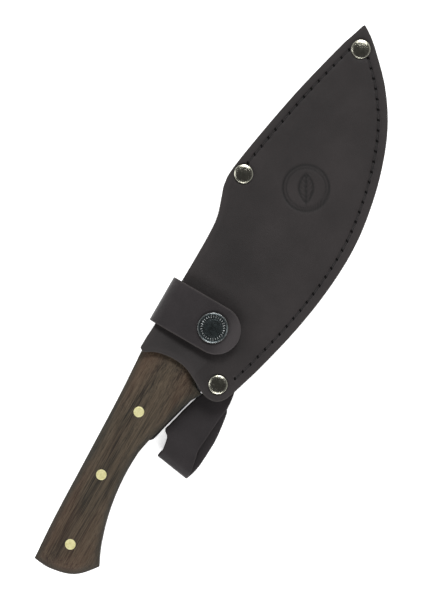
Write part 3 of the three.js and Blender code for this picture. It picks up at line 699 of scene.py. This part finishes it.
def makeWelt(name, node, outer, inner, count):
    # a strip between two lines, rounded at its outer edge
    a, b = alongLine(outer, np.linspace(0, 1, count)), alongLine(inner, np.linspace(0, 1, count))
    across = np.concatenate([[0, 0.02, 0.06], np.linspace(0.15, 1, 7)])
    grid = a[:, None] * (1 - across[None, :, None]) + b[:, None] * across[None, :, None]
    reach = np.linalg.norm(grid - a[:, None], axis=-1)
    height = panelInner - 0.02 - roundedDrop(reach, 0.6, 0.35)
    piece = slabPiece(name, np.dstack([grid, height]), np.dstack([grid, -height]), sheathLeather)
    addPiece(piece, "sheath", "leather", node)


lobe = frontMouth[frontMouth[:, 1] < 4.4][::-1]
bellyOuter = np.vstack([lobe, sheathBelly[1:], sheathTip[1:]])
bellyInner = offsetLine(sheathBelly, welt["width"])
bellyInner = bellyInner[(bellyInner[:, 0] > 14) & (bellyInner[:, 0] < 198)]
bellyInner = np.vstack([[(-8.6, 4.4), (6, 4.4)], bellyInner, [(198, 72), (198, 82.4)]])
makeWelt("bellyWelt", "belly_welt", offsetLine(bellyOuter, welt["inset"]), bellyInner, 360)
spinePart = sheathSpine[(sheathSpine[:, 0] > 97) & (sheathSpine[:, 0] < 196.8)]
makeWelt("spineWelt", "spine_welt", offsetLine(spinePart, -welt["inset"]),
         offsetLine(spinePart, -welt["width"]), 140)
print("welts made")


# stitches, made by Geometry Nodes along each seam

def geometryTree(name, inputs):
    tree = bpy.data.node_groups.new(name, "GeometryNodeTree")
    tree.interface.new_socket(name="Geometry", in_out="INPUT", socket_type="NodeSocketGeometry")
    for socket, (kind, value) in inputs.items():
        made = tree.interface.new_socket(name=socket, in_out="INPUT", socket_type=kind)
        if value is not None:
            made.default_value = value
    tree.interface.new_socket(name="Geometry", in_out="OUTPUT", socket_type="NodeSocketGeometry")
    return tree, tree.nodes.new("NodeGroupInput"), tree.nodes.new("NodeGroupOutput")


def linked(tree, kind, values=None, **links):
    # the first output of a node with its settings, plain socket values and incoming links
    node = tree.nodes.new(kind)
    for key, value in (values or {}).items():
        if key in node.inputs:
            node.inputs[key].default_value = value
        else:
            setattr(node, key, value)
    for key, socket in links.items():
        tree.links.new(socket, node.inputs[key.replace("_", " ")])
    return node.outputs[0]


def makeStitchTree():
    number, paint = "NodeSocketFloat", "NodeSocketMaterial"
    tree, given, made = geometryTree("seamStitches", {
        "Pitch": (number, 0.0062), "Thread": (number, 0.0009), "Hole": (number, 0.0012),
        "Sink": (number, 0.0008),
        "Thread Material": (paint, None), "Hole Shade Material": (paint, None),
        "Stitches": ("NodeSocketInt", 30)})
    give = given.outputs
    curve = linked(tree, "GeometryNodeMeshToCurve", Mesh=give["Geometry"])
    # one thread: an arch whose ends go down into the holes
    half = times(tree, give["Pitch"], 0.465)
    low = times(tree, give["Sink"], -1.0)
    left = linked(tree, "ShaderNodeCombineXYZ", X=times(tree, half, -1.0), Z=low)
    right = linked(tree, "ShaderNodeCombineXYZ", X=half, Z=low)
    top = linked(tree, "ShaderNodeCombineXYZ", Z=give["Sink"])
    arch = linked(tree, "GeometryNodeCurveQuadraticBezier", {"Resolution": 10},
                  Start=left, Middle=top, End=right)
    section = linked(tree, "GeometryNodeCurvePrimitiveCircle", {"Resolution": 8},
                     Radius=times(tree, give["Thread"], 0.5))
    strand = linked(tree, "GeometryNodeCurveToMesh", {"Fill Caps": True},
                    Curve=arch, Profile_Curve=section)
    # one awl hole: a flat dark bead of painted shade standing for the dark inside of the hole, longer than
    # wide and a little slanted
    bead = linked(tree, "GeometryNodeMeshUVSphere", {"Segments": 10, "Rings": 6, "Radius": 0.5})
    size = linked(tree, "ShaderNodeCombineXYZ", X=times(tree, give["Hole"], 1.55),
                  Y=give["Hole"], Z=times(tree, give["Hole"], 0.35))
    hole = linked(tree, "GeometryNodeTransform", {"Rotation": (0, 0, 0.6)}, Geometry=bead,
                  Scale=size)
    # holes stand at whole steps of the seam, threads at the half steps
    tangent = linked(tree, "GeometryNodeInputTangent")
    turn = linked(tree, "FunctionNodeAlignRotationToVector", {"axis": "X"}, Vector=tangent)
    index = linked(tree, "GeometryNodeInputIndex")
    odd = mathNode(tree, "MODULO", index, 2)
    twice = times(tree, give["Stitches"], 2)
    join = tree.nodes.new("GeometryNodeJoinGeometry")
    for count, shape, chosen, finish in (
            (give["Stitches"], hole, {}, "Hole Shade Material"), (twice, strand, {"Selection": odd},
                "Thread Material")):
        points = linked(tree, "GeometryNodeResampleCurve", Curve=curve,
                        Count=mathNode(tree, "ADD", count, 1))
        placed = linked(tree, "GeometryNodeInstanceOnPoints", Points=points,
                        Instance=shape, Rotation=turn, **chosen)
        real = linked(tree, "GeometryNodeRealizeInstances", Geometry=placed)
        painted = linked(tree, "GeometryNodeSetMaterial", Geometry=real, Material=give[finish])
        tree.links.new(painted, join.inputs[0])
    tree.links.new(join.outputs[0], made.inputs[0])
    return tree


def setInputs(modifier, values):
    for item in modifier.node_group.interface.items_tree:
        if item.in_out == "INPUT" and item.name in values:
            modifier[item.identifier] = values[item.name]


def bakeNodes(holder, name, tree, values):
    # run the tree on the holder and keep the result as a plain mesh
    modifier = holder.modifiers.new("shape", "NODES")
    modifier.node_group = tree
    setInputs(modifier, values)
    bpy.context.view_layer.update()
    result = holder.evaluated_get(bpy.context.evaluated_depsgraph_get())
    mesh = bpy.data.meshes.new_from_object(result)
    mesh.name = name
    piece = newObject(name, mesh)
    holder.modifiers.remove(modifier)
    bpy.data.objects.remove(holder)
    tidyMesh(mesh, 50)
    return piece


def edgeHolder(points):
    mesh = bpy.data.meshes.new("path")
    mesh.from_pydata((points * mm + origin).tolist(), [(i, i + 1) for i in range(len(points) - 1)], [])
    return newObject("path", mesh)


stitchTree = makeStitchTree()
for seamName, line, count in (("belly", bellySeam, bellyCount), ("spine", spineSeam, spineCount)):
    for faceName, side in (("front", 1), ("back", -1)):
        path = alongLine(line, np.linspace(0, 1, 260))
        height = side * (panelOuter - seam["level"])
        if side < 0:
            path = path[::-1]
        holder = edgeHolder(np.column_stack([path, np.full(len(path), height)]))
        stitches = bakeNodes(holder, f"{seamName}Seam{faceName.title()}", stitchTree, {
            "Pitch": lengthsOf(line)[-1] / count * mm, "Stitches": count, "Thread": seam["thread"] * mm,
            "Hole": seam["hole"] * mm, "Sink": seam["sink"] * mm,
            "Thread Material": waxedThread, "Hole Shade Material": holeShade})
        addPiece(stitches, "sheath", "thread", f"{seamName}_seam_{faceName}_thread")
print("stitches made", bellyCount, spineCount)


# rivets
rivet = {"half": 5.75, "rise": 1.6, "bore": 2.2, "post": 1.9, "neck": 0.4, "sink": 0.25}


def capProfile(level, side):
    # a low dome, steeper near its rim
    h, t = rivet["half"], rivet["rise"]
    shape = [(rivet["bore"], 0.0), (h - 0.35, 0.0), (h, 0.25), (h, 0.62), (h - 0.18, 0.85), (h - 0.9, 1.12),
             (h - 1.8, 1.32), (0.35 * h, 0.96 * t), (0.1 * h, t), (0.0, t)]
    inner = [(0.0, 0.75), (rivet["bore"], 0.75), (rivet["bore"], 0.0)]
    outline = roundedProfile(shape, 0.32) + inner
    return [(r, level + side * z) for r, z in outline]


rearLevels = {"throat_rivet": heightOf("throat_rivet_post", False) + rivet["rise"],
              "spine_rivet": -panelOuter, "tip_rivet": -panelOuter}
for name, place in (("throat_rivet", throatRivet), ("spine_rivet", spineRivet), ("tip_rivet", tipRivet)):
    label = name.replace("_rivet", "Rivet")
    cap = turnedPiece(f"{label}Cap", capProfile(panelOuter - rivet["sink"], 1), place, nickel)
    addPiece(cap, "sheath", "nickel", f"{name}_cap")
    level = rearLevels[name]
    neck = panelOuter + rivet["neck"]
    post = [(0.0, neck), (rivet["post"], neck), (rivet["post"], level)] + capProfile(level, -1)[1:-3]
    addPiece(turnedPiece(f"{label}Post", post, place, nickel), "sheath", "nickel", f"{name}_post")

for name, place in (("loop_rivet", loopRivet), ("strap_rivet", strapRivet)):
    label = name.replace("_rivet", "Rivet")
    cap = turnedPiece(f"{label}Cap", capProfile(heightOf(f"{name}_cap", True), -1), place, nickel)
    addPiece(cap, "sheath", "nickel", f"{name}_cap")
print("rivets made")


# keeper strap: one piece from the back, round the open spine side, to the snap
strap = {"half": 14.75, "thick": strapTop - strapUnder, "reach": 52.5, "snapReach": 35.395, "turn": 12.3,
         "tail": 40.995, "wrap": 8.0, "clear": 0.8, "edgeRadius": 1.0, "edgeDrop": 0.45,
         "press": 0.35, "bow": 0.25, "frontBend": 3.2, "backBend": 4}
strapTurn = math.radians(strap["turn"])
strapAlong = np.array([math.sin(strapTurn), -math.cos(strapTurn)])
strapAcross = np.array([math.cos(strapTurn), math.sin(strapTurn)])
wrapCentre = snapCentre - strap["snapReach"] * strapAlong


def strapPlan(s, t):
    return wrapCentre + s[..., None] * strapAlong + t[..., None] * strapAcross


def backLevel(t):
    x = wrapCentre[0] + t * strapAcross[0]
    return -(panelOuter + handle["slack"] * swell(x) + strap["clear"] + strap["thick"] / 2)


def makeStrap():
    half, thick = strap["half"], strap["thick"]
    endCentre = strap["reach"] - half
    frontLevel = strapUnder + thick / 2
    sections = []  # (s, share of the half width, kind, value along it)
    for a in np.linspace(math.pi / 2, 0, 30):
        sections.append((endCentre + half * math.sin(a), math.cos(a), "flap", 0))
    for s in np.linspace(endCentre, strap["wrap"], 36)[1:]:
        sections.append((s, 1.0, "flap", 0))
    for a in np.linspace(math.pi / 2, -math.pi / 2, 46)[1:]:
        sections.append((0, 1.0, "bend", a))
    for s in np.linspace(strap["wrap"], strap["tail"], 36)[1:]:
        sections.append((s, 1.0, "tail", 0))
    across = np.concatenate([[-1, -0.985, -0.96, -0.92, -0.86], np.linspace(-0.78, 0.78, 27),
                             [0.86, 0.92, 0.96, 0.985, 1]])
    middle = np.zeros((len(sections), len(across), 3))
    for i, (s, width, kind, a) in enumerate(sections):
        t = across * half * max(width, 1e-4)
        low = backLevel(-half) + (backLevel(half) - backLevel(-half)) * (t + half) / (2 * half)
        if kind == "bend":
            square = strap["frontBend"] if a > 0 else strap["backBend"]
            reach = abs(math.cos(a)) ** (2 / square)
            rise = math.copysign(abs(math.sin(a)) ** (2 / square), a)
            sAll = np.full(t.shape, strap["wrap"] - (strap["wrap"] - thick / 2) * reach)
            z = (frontLevel + low) / 2 + (frontLevel - low) / 2 * rise
        else:
            sAll = np.full(t.shape, s)
            z = np.full(t.shape, frontLevel) if kind == "flap" else low
            if kind == "flap":
                # pressed in under the snap, and bowed a little between the snap and the bend
                r = np.hypot(s - strap["snapReach"], t)
                press = strap["press"] * np.exp(-(np.clip(r - 8.6, 0, None) / 2.2) ** 2)
                bow = strap["bow"] * np.sin((s - strap["wrap"]) / 9.0) * smooth((s - strap["wrap"]) / 6)
                z = z - press * smooth((s - 12) / 10) + bow * smooth((34 - s) / 8)
        middle[i, :, :2] = strapPlan(sAll, t)
        middle[i, :, 2] = z
    along = np.gradient(middle, axis=0)
    side = np.broadcast_to(np.append(strapAcross, 0.0), along.shape)
    normal = np.cross(side, along)
    normal /= np.maximum(np.linalg.norm(normal, axis=-1, keepdims=True), 1e-9)
    normal[0] = normal[1]
    sValue = np.array([s for s, *_ in sections])[:, None]
    kinds = np.array([k for _, _, k, _ in sections])[:, None]
    t = across[None] * half * np.array([w for _, w, _, _ in sections])[:, None]
    edge = half - np.abs(t)
    edge = np.where((kinds == "flap") & (sValue > endCentre), half - np.hypot(sValue - endCentre, t), edge)
    edge = np.where(kinds == "tail", np.minimum(edge, strap["tail"] - sValue), edge)
    h = thick / 2 - roundedDrop(edge, strap["edgeRadius"], strap["edgeDrop"])
    h = h + 0.05 * softNoise(middle[..., :2], 11, 5.5) * smooth(edge / 4)
    offset = normal * np.minimum(h, thick / 2)[..., None]
    # lighter towards the flap's free end, from 38 mm out to 49 mm
    lighterZone = np.where(kinds == "flap", 0.9 * smooth((sValue + 0 * t - 38) / 11), 0)
    return slabPiece("keeperStrap", middle + offset, middle - offset, strapLeather, {"lighterZone": lighterZone},
                     edgeDistance=edge)


keeperStrap = makeStrap()
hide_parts("strap_flap", "strap_bend", "strap_tail")
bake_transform(keeperStrap)
print("strap made")


# snap
snap = {"half": 9.35, "ribs": 29, "ribInner": 5.7, "ribOuter": 7.9, "ribWidth": 0.8, "ribUneven": 0.5,
        "ribLevel": 1.12, "rim": 0.75, "round": 0.25, "sink": 0.25}


def makeSnap():
    h = snap["half"]
    z = strapTop
    cap = [(1.9, -3.0), (1.9, 0.0), (h - 0.25, -0.05), (h, 0.35), (h, 0.8), (h - 0.3, 1.3), (h - 0.6, 1.42),
           (h - 1.05, 1.2), (0.6 * h, 1.1), (0.56 * h, 1.16), (0.5 * h, 1.22), (0.2 * h, 1.4), (0.0, 1.42)]
    profile = [(0.0, z - 3.0)] + roundedProfile([(r, z + rise) for r, rise in cap], 0.3)
    piece = turnedPiece("snapCap", profile, snapCentre, [gunmetal, wornRim], 96)
    for face in piece.data.polygons:
        centre = face.center
        r = math.hypot(centre.x - origin[0] - snapCentre[0] * mm,
                       centre.y - origin[1] - snapCentre[1] * mm) / mm
        if r > h - snap["rim"] and centre.z > origin[2] + (z + 0.5) * mm:
            face.material_index = 1
    addPiece(piece, "strap_flap", "gunmetal", "snap_cap")

    socket = [(2.2, 0.0), (6.2, 0.0), (6.2, -1.2), (5.6, -2.1), (3.9, -2.1), (3.9, -0.5), (2.2, -0.5),
              (2.2, 0.0)]
    socket = roundedProfile([(r, strapUnder + rise) for r, rise in socket], snap["round"])
    addPiece(turnedPiece("snapSocket", socket, snapCentre, gunmetal), "strap_flap", "gunmetal",
             "snap_socket")
    base = panelOuter - snap["sink"]
    stud = [(0.4, 0.0), (5.0, 0.0), (5.0, 0.5), (4.0, 0.95), (1.7, 1.05), (1.7, 1.6), (2.4, 1.95),
            (2.4, 2.3),
            (1.3, 2.75), (0.0, 2.8)]
    stud = [(0.0, base)] + roundedProfile([(r, base + rise) for r, rise in stud], snap["round"])
    addPiece(turnedPiece("snapStud", stud, snapCentre, gunmetal), "sheath", "gunmetal", "snap_stud")


def makeRibTree():
    # short radial ribs in a ring
    number = "NodeSocketFloat"
    tree, given, made = geometryTree("snapRibs", {
        "Ribs": ("NodeSocketInt", 34), "Radius": (number, 0.0064), "Length": (number, 0.002),
        "Width": (number, 0.0006), "Uneven": (number, 0.25), "Finish": ("NodeSocketMaterial", None),
        "Seed": ("NodeSocketInt", 4)})
    give = given.outputs
    ring = linked(tree, "GeometryNodeMeshCircle", Vertices=give["Ribs"], Radius=give["Radius"])
    rib = linked(tree, "GeometryNodeMeshUVSphere", {"Segments": 10, "Rings": 6, "Radius": 0.5})
    place = linked(tree, "GeometryNodeInputPosition")
    turn = linked(tree, "FunctionNodeAlignRotationToVector", {"axis": "X"}, Vector=place)
    chance = tree.nodes.new("FunctionNodeRandomValue")
    tree.links.new(give["Seed"], chance.inputs["Seed"])
    tree.links.new(mathNode(tree, "SUBTRACT", 1.0, give["Uneven"]), chance.inputs[2])
    chance.inputs[3].default_value = 1.0
    size = linked(tree, "ShaderNodeCombineXYZ", X=times(tree, give["Length"], chance.outputs[1]),
                  Y=give["Width"], Z=give["Width"])
    ribs = linked(tree, "GeometryNodeInstanceOnPoints", Points=ring, Instance=rib, Rotation=turn,
                  Scale=size)
    joined = linked(tree, "GeometryNodeRealizeInstances", Geometry=ribs)
    painted = linked(tree, "GeometryNodeSetMaterial", Geometry=joined, Material=give["Finish"])
    tree.links.new(painted, made.inputs[0])
    return tree


makeSnap()
ribRing = bakeNodes(edgeHolder(np.zeros((2, 3))), "snapRibRing", makeRibTree(), {
    "Ribs": snap["ribs"], "Radius": (snap["ribInner"] + snap["ribOuter"]) / 2 * mm,
    "Length": (snap["ribOuter"] - snap["ribInner"]) * mm, "Width": snap["ribWidth"] * mm,
    "Uneven": snap["ribUneven"], "Finish": wornRim, "Seed": 4})
ribPlace = origin + np.append(snapCentre, strapTop + snap["ribLevel"]) * mm
ribRing.data.transform(Matrix.Translation(Vector(ribPlace)))
addPiece(ribRing, "strap_flap", "gunmetal")
print("snap made")


# belt loop: one strip, folded over
loop = {"thick": 2.6, "gap": 5.2, "foldReach": 5.2, "rootGap": 0.6, "layerGap": 0.3,
        "edgeRadius": 1.0, "edgeDrop": 0.45}


def makeLoop():
    thick = loop["thick"]
    lower = -restDepth + thick / 2
    upper = lower + thick + loop["gap"]
    rootUpper = -(panelOuter + loop["rootGap"] + thick / 2)
    rootLower = rootUpper - thick - loop["layerGap"]
    root = [(38, 17, 38, -1), (28, 16, 28, -2.8), (15, 9.5, 15, -4.2), (6, 6.6, 7, -8.6), (0, 4, 1, -11.6),
            (-7, 2.6, -7, -14.2)]
    upperPlan = [(-14, 3.9, -15.3, -15), (-25, 4.9, -28, -16.8), (-36, 5, -37.4, -18.2),
                 (-41.4, 5.2, -42, -20.2), (-44.4, 1, -46.5, -22.2), (-51.5, -2, -50, -23.8)]
    lowerPlan = [(-51.5, -2, -50, -25.4), (-44.4, 1, -44, -25.2), (-40, 4.6, -36, -24),
                 (-32, 4.8, -26, -22), (-20, 2.8, -17, -19), (-12, 1, -10, -16.2)]

    def rising(plan, start, end):
        n = len(plan) - 1
        return [(*p, start + (end - start) * float(smooth((i + 1) / n))) for i, p in enumerate(plan)]

    fold = []
    for i in range(1, 7):
        a = i / 7 * math.pi
        p = np.array(upperPlan[-1]) + (np.array(lowerPlan[0]) - np.array(upperPlan[-1])) * i / 7
        out = (loop["foldReach"] - thick / 2) * math.sin(a)
        fold.append((p[0] - out, p[1], p[2] - out, p[3],
                     (upper + lower) / 2 + (upper - lower) / 2 * math.cos(a)))
    sections = [(*p, rootUpper) for p in root] + rising(upperPlan, rootUpper, upper) + fold
    sections += rising(lowerPlan[::-1], rootLower, lower)[::-1] + [(*p, rootLower) for p in root[::-1]]
    fine = splineThrough(sections, 7)
    across = np.concatenate([[0, 0.015, 0.04, 0.08], np.linspace(0.14, 0.86, 17),
                             [0.92, 0.96, 0.985, 1]])[None, :, None]
    left, right = fine[:, None, [0, 1, 4]], fine[:, None, [2, 3, 4]]
    middle = left * (1 - across) + right * across
    normal = np.cross(np.broadcast_to(right - left, middle.shape), np.gradient(middle, axis=0))
    normal /= np.maximum(np.linalg.norm(normal, axis=-1, keepdims=True), 1e-9)
    width = np.linalg.norm(right - left, axis=-1)
    edge = np.minimum(across[..., 0], 1 - across[..., 0]) * width
    ends = np.minimum(np.arange(len(fine)), np.arange(len(fine))[::-1])[:, None] * 0.9
    edge = np.minimum(edge, ends)
    h = thick / 2 - roundedDrop(edge, loop["edgeRadius"], loop["edgeDrop"])
    offset = normal * h[..., None]
    return slabPiece("beltLoop", middle + offset, middle - offset, loopLeather, edgeDistance=edge)


addPiece(makeLoop(), "sheath", "strap_leather", "belt_loop")
print("belt loop made")


# knife
handleSpine = [(-151, 11), (-123.5, 19), (-83.9, 29.1), (-44.3, 39.3), (-15.6, 47.6), (-8, 49.4)]
handleFinger = [(-128.6, -21.2), (-118.3, -13.4), (-102.1, -4.4), (-84.1, 2.6), (-66.2, 7), (-55, 7.9),
                (-39.4, 7.1), (-21.9, 6.1), (-11.2, 3.4)]
pommel = splineThrough([(-128.6, -21.2), (-137.7, -16.4), (-142.8, -11.9), (-146.4, -6), (-149.6, 2.2),
                        (-151, 11)])
scaleFront = splineThrough([(-11.2, 3.4), (-9.9, 8), (-6, 14), (-1.8, 20), (-0.6, 27), (-1.6, 36),
                            (-4.4, 44.5), (-8, 49.4)])
bladeTop = splineThrough(handleSpine + [(10, 51.6), (33.9, 56.4), (61, 62.2), (75, 65.4), (90, 67.6),
                                        (120, 68.4), (160, 68.4), (193.5, 66.8)])
bladeEdge = splineThrough(handleFinger + [(-8, 6.3), (20, 6.8), (75, 6.2), (100, 8), (125, 14.5), (150, 25),
                                          (170, 38.5), (185, 53.5), (193.5, 66.8)])
pinPlaces = {name: centreOf(f"handle_pin_{name}") for name in ("front", "middle", "rear")}
knife = {"tip": (193.5, 66.8), "bevelShare": 0.38, "edge": 0.4, "microShare": 0.012, "micro": 0.15,
         "tangShow": 0.22, "pin": 3.175, "pinRise": 0.05, "edgeRadius": 1.0, "edgeDrop": 0.6}


def makeBlade():
    us = np.linspace(0, 1, 330)
    vs = np.concatenate([[0, knife["microShare"], 0.03], np.linspace(0.06, knife["bevelShare"], 10),
                         np.linspace(0.42, 0.985, 14), [1]])
    tip = np.array([knife["tip"], knife["tip"]]) + np.array([[0, 0], [1e-6, 0]])
    grid = patchGrid(bladeEdge, bladeTop, pommel, tip, us, vs)
    ground = smooth((grid[..., 0] + 6) / 10)
    bevel = np.clip(vs / knife["bevelShare"], 0, 1)[None]
    half = halfBlade - ground * (1 - bevel) * (halfBlade - knife["edge"] / 2)
    micro = ground * np.clip(1 - vs / knife["microShare"], 0, 1)[None] * knife["micro"]
    half = np.maximum(half - micro, 0.03)
    piece = slabPiece("bladeAndTang", np.dstack([grid, half]), np.dstack([grid, -half]), steel, None, 25)
    addPiece(piece, "knife", "steel", "blade")


def makeScales():
    finger, spine = splineThrough(handleFinger), splineThrough(handleSpine)
    front, butt = scaleFront.copy(), pommel.copy()
    show = knife["tangShow"] * smooth((finger[:, 0] + 48) / 30)
    finger = finger + show[:, None] * np.array([0.0, 1.0])
    front[0], butt[0] = finger[-1], finger[0]
    us = sharesFrom([(3, 0.4), (6, 0.8), (90, 1.35), (8, 0.9), (3, 0.4)])
    vs = sharesFrom([(3, 0.35), (8, 0.6), (26, 0.9), (8, 0.6), (3, 0.35)])
    grid = patchGrid(finger, spine, butt, front, us, vs)
    outline = np.vstack([alongLine(c, np.linspace(0, 1, 700)) for c in (finger, spine, front, butt)])
    edge = distanceTo(grid, outline)[0]
    u, v = us[:, None], vs[None]
    crown = 1 - 0.5 * np.abs(2 * v - 1) ** 3.5
    buttEnd = 1 - 0.45 * (1 - np.clip(u / 0.08, 0, 1)) ** 2.5
    frontEnd = 1 - 0.4 * (1 - np.clip((1 - u) / 0.1, 0, 1)) ** 2
    drop = roundedDrop(edge, knife["edgeRadius"], knife["edgeDrop"]) + 0.5 * (1 - smooth(edge / 5))
    rise = swell(grid[..., 0]) * crown * buttEnd * frontEnd - drop
    rise = rise + 0.03 * softNoise(grid, 14, 2.2) * smooth(edge / 4)
    for name, side in (("front", 1), ("back", -1)):
        top = np.dstack([grid, side * (halfBlade + np.maximum(rise, 0.25))])
        bottom = np.dstack([grid, np.full(edge.shape, side * halfBlade)])
        # painted shade: the wood darker within 4.5 mm of the scale edges, where they round over
        edgeShade = {"edgeShade": 1 - smooth(edge / 4.5)}
        scale = slabPiece(f"{name}Scale", top, bottom, walnut, edgeShade, 50)
        addPiece(scale, "knife", "walnut", f"{name}_scale")
    return grid, rise


def makePins(grid, rise):
    # each pin is filed flush with the wood round it
    tree = kdtree.KDTree(grid[..., 0].size)
    for i, place in enumerate(grid.reshape(-1, 2)):
        tree.insert((place[0], place[1], 0), i)
    tree.balance()
    heights = rise.ravel()
    for name, place in pinPlaces.items():
        r = knife["pin"]
        under = [(0.0, -1), (0.5 * r, -1), (0.8 * r, -1), (r - 0.06, -1), (r, -0.99)]
        profile = under + [(radius, -share) for radius, share in reversed(under)]
        pin = turnedPiece(f"{name}Pin", profile, place, brass, 48)
        for vertex in pin.data.vertices:
            plan = (np.array(vertex.co) - origin) / mm
            near = tree.find_n((plan[0], plan[1], 0), 4)
            level = halfBlade + sum(heights[n[1]] for n in near) / 4 + knife["pinRise"]
            vertex.co.z = origin[2] + plan[2] * level * mm
        addPiece(pin, "knife", "brass", f"handle_pin_{name}")


makeBlade()
makePins(*makeScales())
print("knife made")


# the rest of the metal keeps its CAD shape
for name, material in (("loop_rivet_post", nickel), ("strap_rivet_post", nickel),
                       ("snap_stud_post", gunmetal)):
    node = frame["nodes"][name]
    node.data.materials.clear()
    node.data.materials.append(material)


# floor, light and camera
stage = {"floor": 6.0, "tilt": 1.2, "camera": 1.597, "lens": 160.0, "aim": (35.99, 35.77), "roll": -47.55,
         "aimHeight": 0.005, "glow": 0.6, "zenith": 0.06, "sky": 0.95}
# right, up and height of each lamp as the camera sees them, its size and its power
lamps = {"keySoftbox": ((0.35, 1.45, 1.45), (1.1, 0.7), 32),
         "fillSoftbox": ((-0.2, -1.5, 1.2), (1.3, 0.6), 22),
         "sideSoftbox": ((-1.5, 0.2, 1.2), (0.7, 0.9), 7)}


def plainMaterial(name, colour, roughness):
    material, tree, shader = newMaterial(name, **{"Roughness": roughness, "Specular IOR Level": 0.2})
    cloud = noiseNode(tree, tree.nodes.new("ShaderNodeTexCoord").outputs["Object"], 2.0)
    tree.links.new(mixColours(tree, cloud, colour, tuple(0.99 * c for c in colour)),
                   shader.inputs["Base Color"])
    shader.inputs["Emission Color"].default_value = (1, 1, 1, 1)
    shader.inputs["Emission Strength"].default_value = stage["glow"]
    return material


def lowestOver(piece, slope):
    # the piece's least height over a plane that rises along x
    places = np.zeros(len(piece.data.vertices) * 3, np.float32)
    piece.data.vertices.foreach_get("co", places)
    places = places.reshape(-1, 3)
    return float((places[:, 2] - places[:, 0] * slope).min()) - 0.0001


def makeStage():
    half = stage["floor"] / 2
    slope = math.tan(math.radians(stage["tilt"]))
    level = min(lowestOver(piece, slope) for piece in bpy.data.objects if piece.type == "MESH")
    plan = [(-half, -half), (half, -half), (half, half), (-half, half)]
    corners = [(x, y, x * slope + level) for x, y in plan]
    mesh = bpy.data.meshes.new("floor")
    mesh.from_pydata(corners, [], [(0, 1, 2, 3)])
    mesh.materials.append(plainMaterial("paleFloor", (0.9, 0.9, 0.9), 0.9))
    newObject("floor", mesh)


def addLight(name, place, size, power):
    light = bpy.data.lights.new(name, "AREA")
    light.shape = "RECTANGLE"
    light.size, light.size_y = size
    light.energy = power
    lamp = newObject(name, light)
    lamp.location = place
    lamp.rotation_euler = (Vector(place) * -1).to_track_quat("-Z", "Y").to_euler()


def makeLight():
    world = bpy.data.worlds.new("studio")
    bpy.context.scene.world = world
    world.use_nodes = True
    tree = world.node_tree
    back = tree.nodes["Background"]
    direction = tree.nodes.new("ShaderNodeTexCoord").outputs["Object"]
    apart = tree.nodes.new("ShaderNodeSeparateXYZ")
    tree.links.new(direction, apart.inputs[0])
    rise = spreadNode(tree, apart.outputs["Z"], 0.5, 0.82)
    zenith = (stage["zenith"],) * 3
    tree.links.new(mixColours(tree, rise, (1.0, 1.0, 1.0), zenith), back.inputs["Color"])
    back.inputs["Strength"].default_value = stage["sky"]
    turn = math.radians(-stage["roll"])
    up = np.array([math.sin(turn), math.cos(turn)])
    across = np.array([math.cos(turn), -math.sin(turn)])
    for name, ((right, above, height), size, power) in lamps.items():
        p = across * right + up * above
        addLight(name, (p[0], p[1], height), size, power)


def makeCamera():
    camera = bpy.data.cameras.new("camera")
    camera.lens = stage["lens"]
    camera.clip_start, camera.clip_end = 0.05, 30
    holder = newObject("camera", camera)
    aim = np.array(stage["aim"]) * mm + origin[:2]
    holder.location = (aim[0], aim[1], origin[2] + stage["aimHeight"] + stage["camera"])
    holder.rotation_euler = (0, 0, math.radians(stage["roll"]))
    bpy.context.scene.camera = holder


makeStage()
makeLight()
makeCamera()
bpy.context.scene.view_settings.view_transform = "Standard"
print("stage made")
